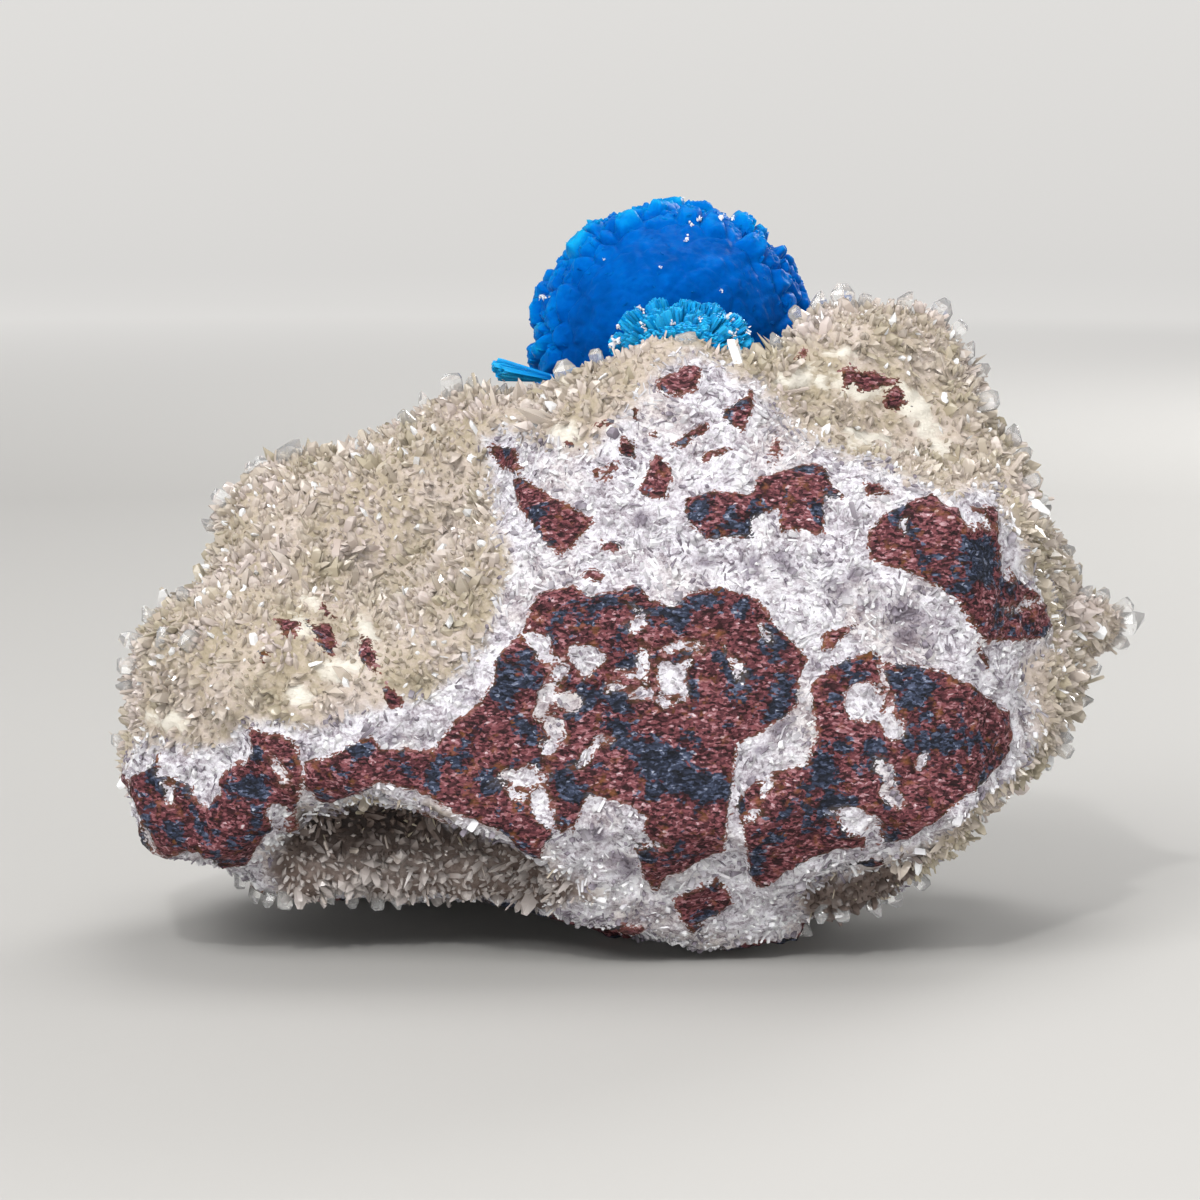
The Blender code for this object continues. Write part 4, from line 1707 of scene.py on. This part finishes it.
# The bunches of the small rosette, which splay from one root under the druse.
SMALL_ROOT = (3.6 * MM, -6.6 * MM, 38.1 * MM)
SMALL_BUNCHES = rows(
    Bunch,
    (-66, 4, 5.1, 8, 26), (-44, 8, 5.3, 9, 30), (-20, 5, 4.95, 9, 30), (6, 6, 4.75, 10, 34),
    (29, 5, 5.0, 10, 34), (52, 8, 5.4, 9, 30), (70, 4, 5.3, 7, 22), (-55, 18, 4.8, 11, 22),
    (-30, 22, 4.7, 12, 24), (-6, 19, 4.5, 12, 24), (18, 22, 4.6, 12, 24), (42, 19, 4.8, 12, 24),
    (64, 18, 5.0, 11, 20), (-56, -18, 4.7, 9, 20), (-32, -16, 4.6, 10, 20), (-8, -18, 4.4, 10, 20),
    (18, -16, 4.5, 10, 20), (41, -18, 4.7, 10, 20), (62, -16, 4.8, 8, 18), (-44, 40, 4.3, 15, 26),
    (-10, 42, 4.1, 16, 28), (24, 41, 4.2, 16, 28), (54, 38, 4.5, 14, 24),
)

# The bunches of the sheaf, which lies over to the left.
SHEAF_ROOT = (-4.4 * MM, -1.2 * MM, 37.0 * MM)
SHEAF_BUNCHES = rows(
    Bunch,
    (-73, 3, 4.4, 1.6, 18), (-76, 8, 4.6, 1.6, 18), (-79, 2, 4.6, 1.6, 18), (-82, 8, 4.5, 1.6, 16),
    (-86, 4, 4.3, 1.8, 14), (-78, 18, 4.3, 3, 16), (-77, -12, 4.3, 3, 14), (-84, -14, 4.2, 3, 12),
)


@dataclass
class Fan:
    """A rosette seen from its side: bunches of thin blades with square, uneven ends."""

    name: str
    node: str
    root: tuple[float, float, float]
    bunches: Sequence[Bunch]
    width: float = 0.46 * MM
    thickness: float = 0.17 * MM
    unevenness: float = 0.06
    crowding: float = 1.6  # how many times the blades that its bunches name
    seed: int = 7

    def build(self) -> Piece:
        """Grows every bunch from the root.

        Returns:
            The fan.
        """
        rng = np.random.default_rng(self.seed)
        directions, lengths, tints = [], [], []
        for bunch in self.bunches:
            reach = bunch.reach * rng.uniform(0.97, 1.03)
            for share in np.linspace(-1, 1, round(bunch.blades * self.crowding)):
                lean = math.radians(bunch.lean + share * bunch.spread + rng.normal(0, 0.8))
                tilt = math.radians(bunch.tilt + rng.normal(0, 4.5))
                level = math.cos(tilt)
                directions.append((math.sin(lean) * level, -math.sin(tilt), math.cos(lean) * level))
                lengths.append(reach * (1 - 0.04 * share ** 2) * (1 - self.unevenness * rng.random()))
                tints.append(rng.random())
        count = len(directions)
        sizes = np.column_stack([
            self.width * rng.uniform(0.7, 1.3, count), self.thickness * rng.uniform(0.8, 1.3, count),
            np.array(lengths) * MM])
        turns = rng.normal(0, 0.5, count)
        feet = np.tile(self.root, (count, 1))
        growth = Growth(feet, unit(np.array(directions)), turns, sizes, np.array(tints))
        return grow(self.name, [Habit.LATH], growth, sides=4)


@dataclass
class RearSheaf:
    """Tan stilbite low on the back right: pearly blades that splay from the rock."""

    node: str = "stilbite_rear_sheaf"
    blades: int = 420
    shift: tuple[float, float, float] = (1.4 * MM, -0.6 * MM, 0.2 * MM)
    seed: int = 23

    def build(self) -> Piece:
        """Grows blades from inside the CAD piece out to its skin.

        Returns:
            The sheaf.
        """
        rng = np.random.default_rng(self.seed)
        low, high = (np.array(corner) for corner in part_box(self.node))
        middle, half = (low + high) / 2 + np.array(self.shift), (high - low) / 2
        directions = spread_directions(self.blades, 0.10, rng)
        reach = 1 / np.linalg.norm(directions / (half * 1.04), axis=1)
        length = reach * rng.uniform(0.90, 1.05, self.blades)
        sizes = np.column_stack([
            rng.uniform(0.55, 1.0, self.blades) * MM, rng.uniform(0.25, 0.4, self.blades) * MM, length])
        feet = np.tile(middle, (self.blades, 1))
        turns = rng.uniform(0, math.tau, self.blades)
        growth = Growth(feet, directions, turns, sizes, rng.random(self.blades))
        return grow("tan_sheaf", [Habit.TABLET, Habit.BLOCK], growth)


@dataclass
class Studio:
    """A pale round cove with soft light, the same from every side."""

    disc_radius: float = 0.3
    floor_radius: float = 0.9
    wall_height: float = 1.3
    bend: float = 0.35
    bend_steps: int = 12
    floor: str = "#bfbdb9"
    wall: str = "#f1efeb"
    # The colour of the backdrop's painted light.
    wall_glow: str = "#b4b3b1"
    glow_radius: float = 0.70  # from here outwards the backdrop's painted light, an emission that stands in for lamplight, is at its full

    def build(self) -> None:
        """Makes the floor, the backdrop, the lights and the world."""
        material = new_material("paper_pale_with_painted_light")
        tree = material.node_tree
        place = add_node(tree, "TexCoord").outputs["Object"]
        height = add_node(tree, "SeparateXYZ", {"Vector": place}).outputs["Z"]
        shade = ramp(tree, height, ((0.0, self.floor), (self.bend, self.wall)))
        away = add_node(tree, "VectorMath", {0: place}, operation="LENGTH").outputs["Value"]
        # Painted light: the backdrop glows of itself, more the further it is from the specimen, in place of
        # lamplight falling on it.
        painted_light_and_tone = ramp(tree, away, ((self.disc_radius, "#000000"), (self.glow_radius, self.wall_glow)))
        shader = add_node(tree, "BsdfPrincipled", {
            "Base Color": shade, "Roughness": 0.8, "Emission Color": painted_light_and_tone, "Emission Strength": 1.0,
        })
        add_node(tree, "OutputMaterial", {"Surface": shader.outputs[0]})
        profile = [(self.disc_radius, 0.0), (self.floor_radius, 0.0)]
        for turn in np.linspace(0, math.pi / 2, self.bend_steps + 1)[1:]:
            profile.append((self.floor_radius + self.bend * math.sin(turn), self.bend * (1 - math.cos(turn))))
        profile.append((self.floor_radius + self.bend, self.wall_height))
        self.swept("floor", [(0.0, 0.0), (self.disc_radius, 0.0)], material)
        backdrop = self.swept("backdrop", profile, material)
        backdrop.visible_diffuse = False  # so the world's even light comes in past it
        backdrop.visible_glossy = False
        backdrop.visible_shadow = False
        self.lamp("key", (-0.24, -0.38, 0.40), 0.30, 2.1)
        self.lamp("fill", (0.42, -0.30, 0.22), 0.25, 0.5)
        self.lamp("top", (0.05, 0.12, 0.55), 0.30, 0.9)
        self.lamp("rim", (0.25, 0.40, 0.25), 0.20, 1.1)
        self.lamp("spark", (-0.10, -0.45, 0.40), 0.03, 0.8)
        self.lamp("low", (-0.02, -0.50, 0.03), 0.16, 0.85)
        world = bpy.data.worlds.new("room")
        world.use_nodes = True
        world.node_tree.nodes["Background"].inputs["Color"].default_value = linear("#f2f2f4")
        world.node_tree.nodes["Background"].inputs["Strength"].default_value = 0.40
        bpy.context.scene.world = world

    @staticmethod
    def swept(name: str, profile: Sequence[tuple[float, float]], material: bpy.types.Material) -> Piece:
        """Turns a profile round the vertical axis, as a part of the stage.

        Args:
            name: the part's name.
            profile: distances out from the axis and up, in metres.
            material: its finish.

        Returns:
            The part.
        """
        bm = bmesh.new()
        corners = [bm.verts.new((across, 0, up)) for across, up in profile]
        edges = [bm.edges.new(pair) for pair in zip(corners, corners[1:])]
        bmesh.ops.spin(
            bm, geom=corners + edges, axis=(0, 0, 1), cent=(0, 0, 0), steps=96, angle=math.tau,
            use_merge=True)
        bmesh.ops.remove_doubles(bm, verts=bm.verts[:], dist=0.01 * MM)
        bmesh.ops.recalc_face_normals(bm, faces=bm.faces[:])
        piece = finished(name, bm)
        piece.data.shade_smooth()
        piece.data.materials.append(material)
        return piece

    @staticmethod
    def lamp(name: str, place: tuple[float, float, float], side: float, watts: float) -> None:
        """Hangs a square soft light that shines on the specimen.

        Args:
            name: the lamp's name.
            place: where it hangs, in metres.
            side: its side, in metres; the larger, the softer its shadows.
            watts: its power.
        """
        light = bpy.data.lights.new(name, "AREA")
        light.size = side
        light.energy = watts
        lamp = in_scene(name, light)
        lamp.location = place
        lamp.visible_camera = False
        lamp.rotation_euler = (Vector(LIT_PLACE) - Vector(place)).to_track_quat("-Z", "Y").to_euler()


def choose_light_paths() -> None:
    """Keeps the colours plain, and the paths of light as short as clear crystals allow."""
    bpy.context.scene.view_settings.view_transform = "Standard"
    paths = bpy.context.scene.cycles
    paths.diffuse_bounces = 1
    paths.glossy_bounces = 1
    paths.transmission_bounces = 4
    paths.max_bounces = 4
    paths.use_light_tree = False


def grow_druse(lump: Piece, coarse: float) -> None:
    """Covers the lump in stilbite: its blades, those in the hollows, fine needles and the clear crystals.

    Args:
        lump: the skin that they grow from.
        coarse: how much further apart than usual they are.
    """
    stilbite = STILBITE.make()
    druse = Druse(spacing=Druse.spacing * coarse)
    ground = Ground.on(lump, druse.spacing, seed=1)
    growth, in_hollow = druse.grown(ground)
    habits = [Habit.CHISEL, Habit.POINT, Habit.OBLIQUE, Habit.CHISEL, Habit.TABLET]
    lining = grow("stilbite_in_hollows", habits, growth.picked(in_hollow), sides=4)
    dress(lining, STILBITE_HOLLOW.make(), "stilbite_druse")
    growth = growth.picked(~in_hollow)
    order = np.argsort(growth.feet[:, 0], kind="stable")
    per_crystal = max(crystal(habit, 4).triangles for habit in habits)
    parts = math.ceil(len(order) * per_crystal / PIECE_TRIANGLES)
    for number, chosen in enumerate(np.array_split(order, parts), 1):
        piece = grow(f"stilbite_blades_{number}", habits, growth.picked(chosen), sides=4)
        dress(piece, stilbite, "stilbite_druse")
    needles = Druse(
        spacing=1.1 * MM * coarse, stray=0.7, length=1.1 * MM, width=0.16 * MM, thickness=0.10 * MM, seed=12)
    fine_growth = needles.grown(Ground.on(lump, needles.spacing, seed=4))[0]
    fine = grow("stilbite_needles", [Habit.LATH, Habit.POINT], fine_growth, sides=4)
    dress(fine, stilbite, "stilbite_druse")
    standing = TallCrystals(TALL_CRYSTALS).grown(ground)
    tall = grow("stilbite_tall", [Habit.OBLIQUE, Habit.CHISEL, Habit.TABLET], standing)
    dress(tall, STILBITE_CLEAR.make(), "stilbite_druse")


def grow_cement(lump: Piece, material: bpy.types.Material, coarse: float) -> None:
    """Covers the cement in zeolite laths and crumbs.

    Args:
        lump: the skin that they grow from.
        material: their finish.
        coarse: how much further apart than usual they are.
    """
    felt = CementLaths(spacing=CementLaths.spacing * coarse)
    crumbs = CementLaths(
        spacing=0.46 * MM * coarse, length=0.34 * MM, width=0.30 * MM, thickness=0.22 * MM, lift=1.6, seed=18)
    for name, laths, habits, scatter in (
            ("zeolite_laths", felt, [Habit.LATH], 2),
            ("zeolite_crumbs", crumbs, [Habit.BLOCK, Habit.TABLET], 6)):
        growth = laths.grown(Ground.on(lump, laths.spacing, seed=scatter))
        dress(grow(name, habits, growth, sides=4), material, "basalt_breccia")


def grow_cavansite() -> list[Piece]:
    """Grows the ball, the small rosette and the sheaf.

    Returns:
        Their pieces.
    """
    deep, bright = ROSETTE_BLUE.make(), CAVANSITE.make()
    ball = Ball()
    pieces = [
        dress(ball.build_heart(), deep, "cavansite_deep", [ball.node]),
        dress(ball.build_blades(), deep, "cavansite_deep")]
    fans = (
        Fan("cavansite_fan", "cavansite_rosette_small", SMALL_ROOT, SMALL_BUNCHES),
        Fan("cavansite_leaning_sheaf", "cavansite_sheaf", SHEAF_ROOT, SHEAF_BUNCHES, seed=9))
    return pieces + [dress(fan.build(), bright, "cavansite_bright", [fan.node]) for fan in fans]


def main() -> None:
    """Builds the specimen piece by piece, then the studio round it."""
    logging.basicConfig(level=logging.INFO, format="%(message)s")
    VIEW.set_up()
    choose_light_paths()
    coarse = 1.0
    skin = LumpSkin(facet=LumpSkin.facet * coarse)
    lump = skin.dress(skin.build(), BRECCIA.make())
    zeolite = LATHS.make()
    grow_druse(lump, coarse)
    grow_cement(lump, zeolite, coarse)
    specks = Specks(SPECKS).grown(grow_cavansite())
    dress(grow("zeolite_specks", [Habit.TABLET, Habit.CHISEL], specks, sides=4), zeolite, "stilbite_druse")
    rear = RearSheaf()
    dress(rear.build(), TAN_STILBITE.make(), "stilbite_tan", [rear.node])
    Studio().build()


if __name__ == "__main__":
    main()
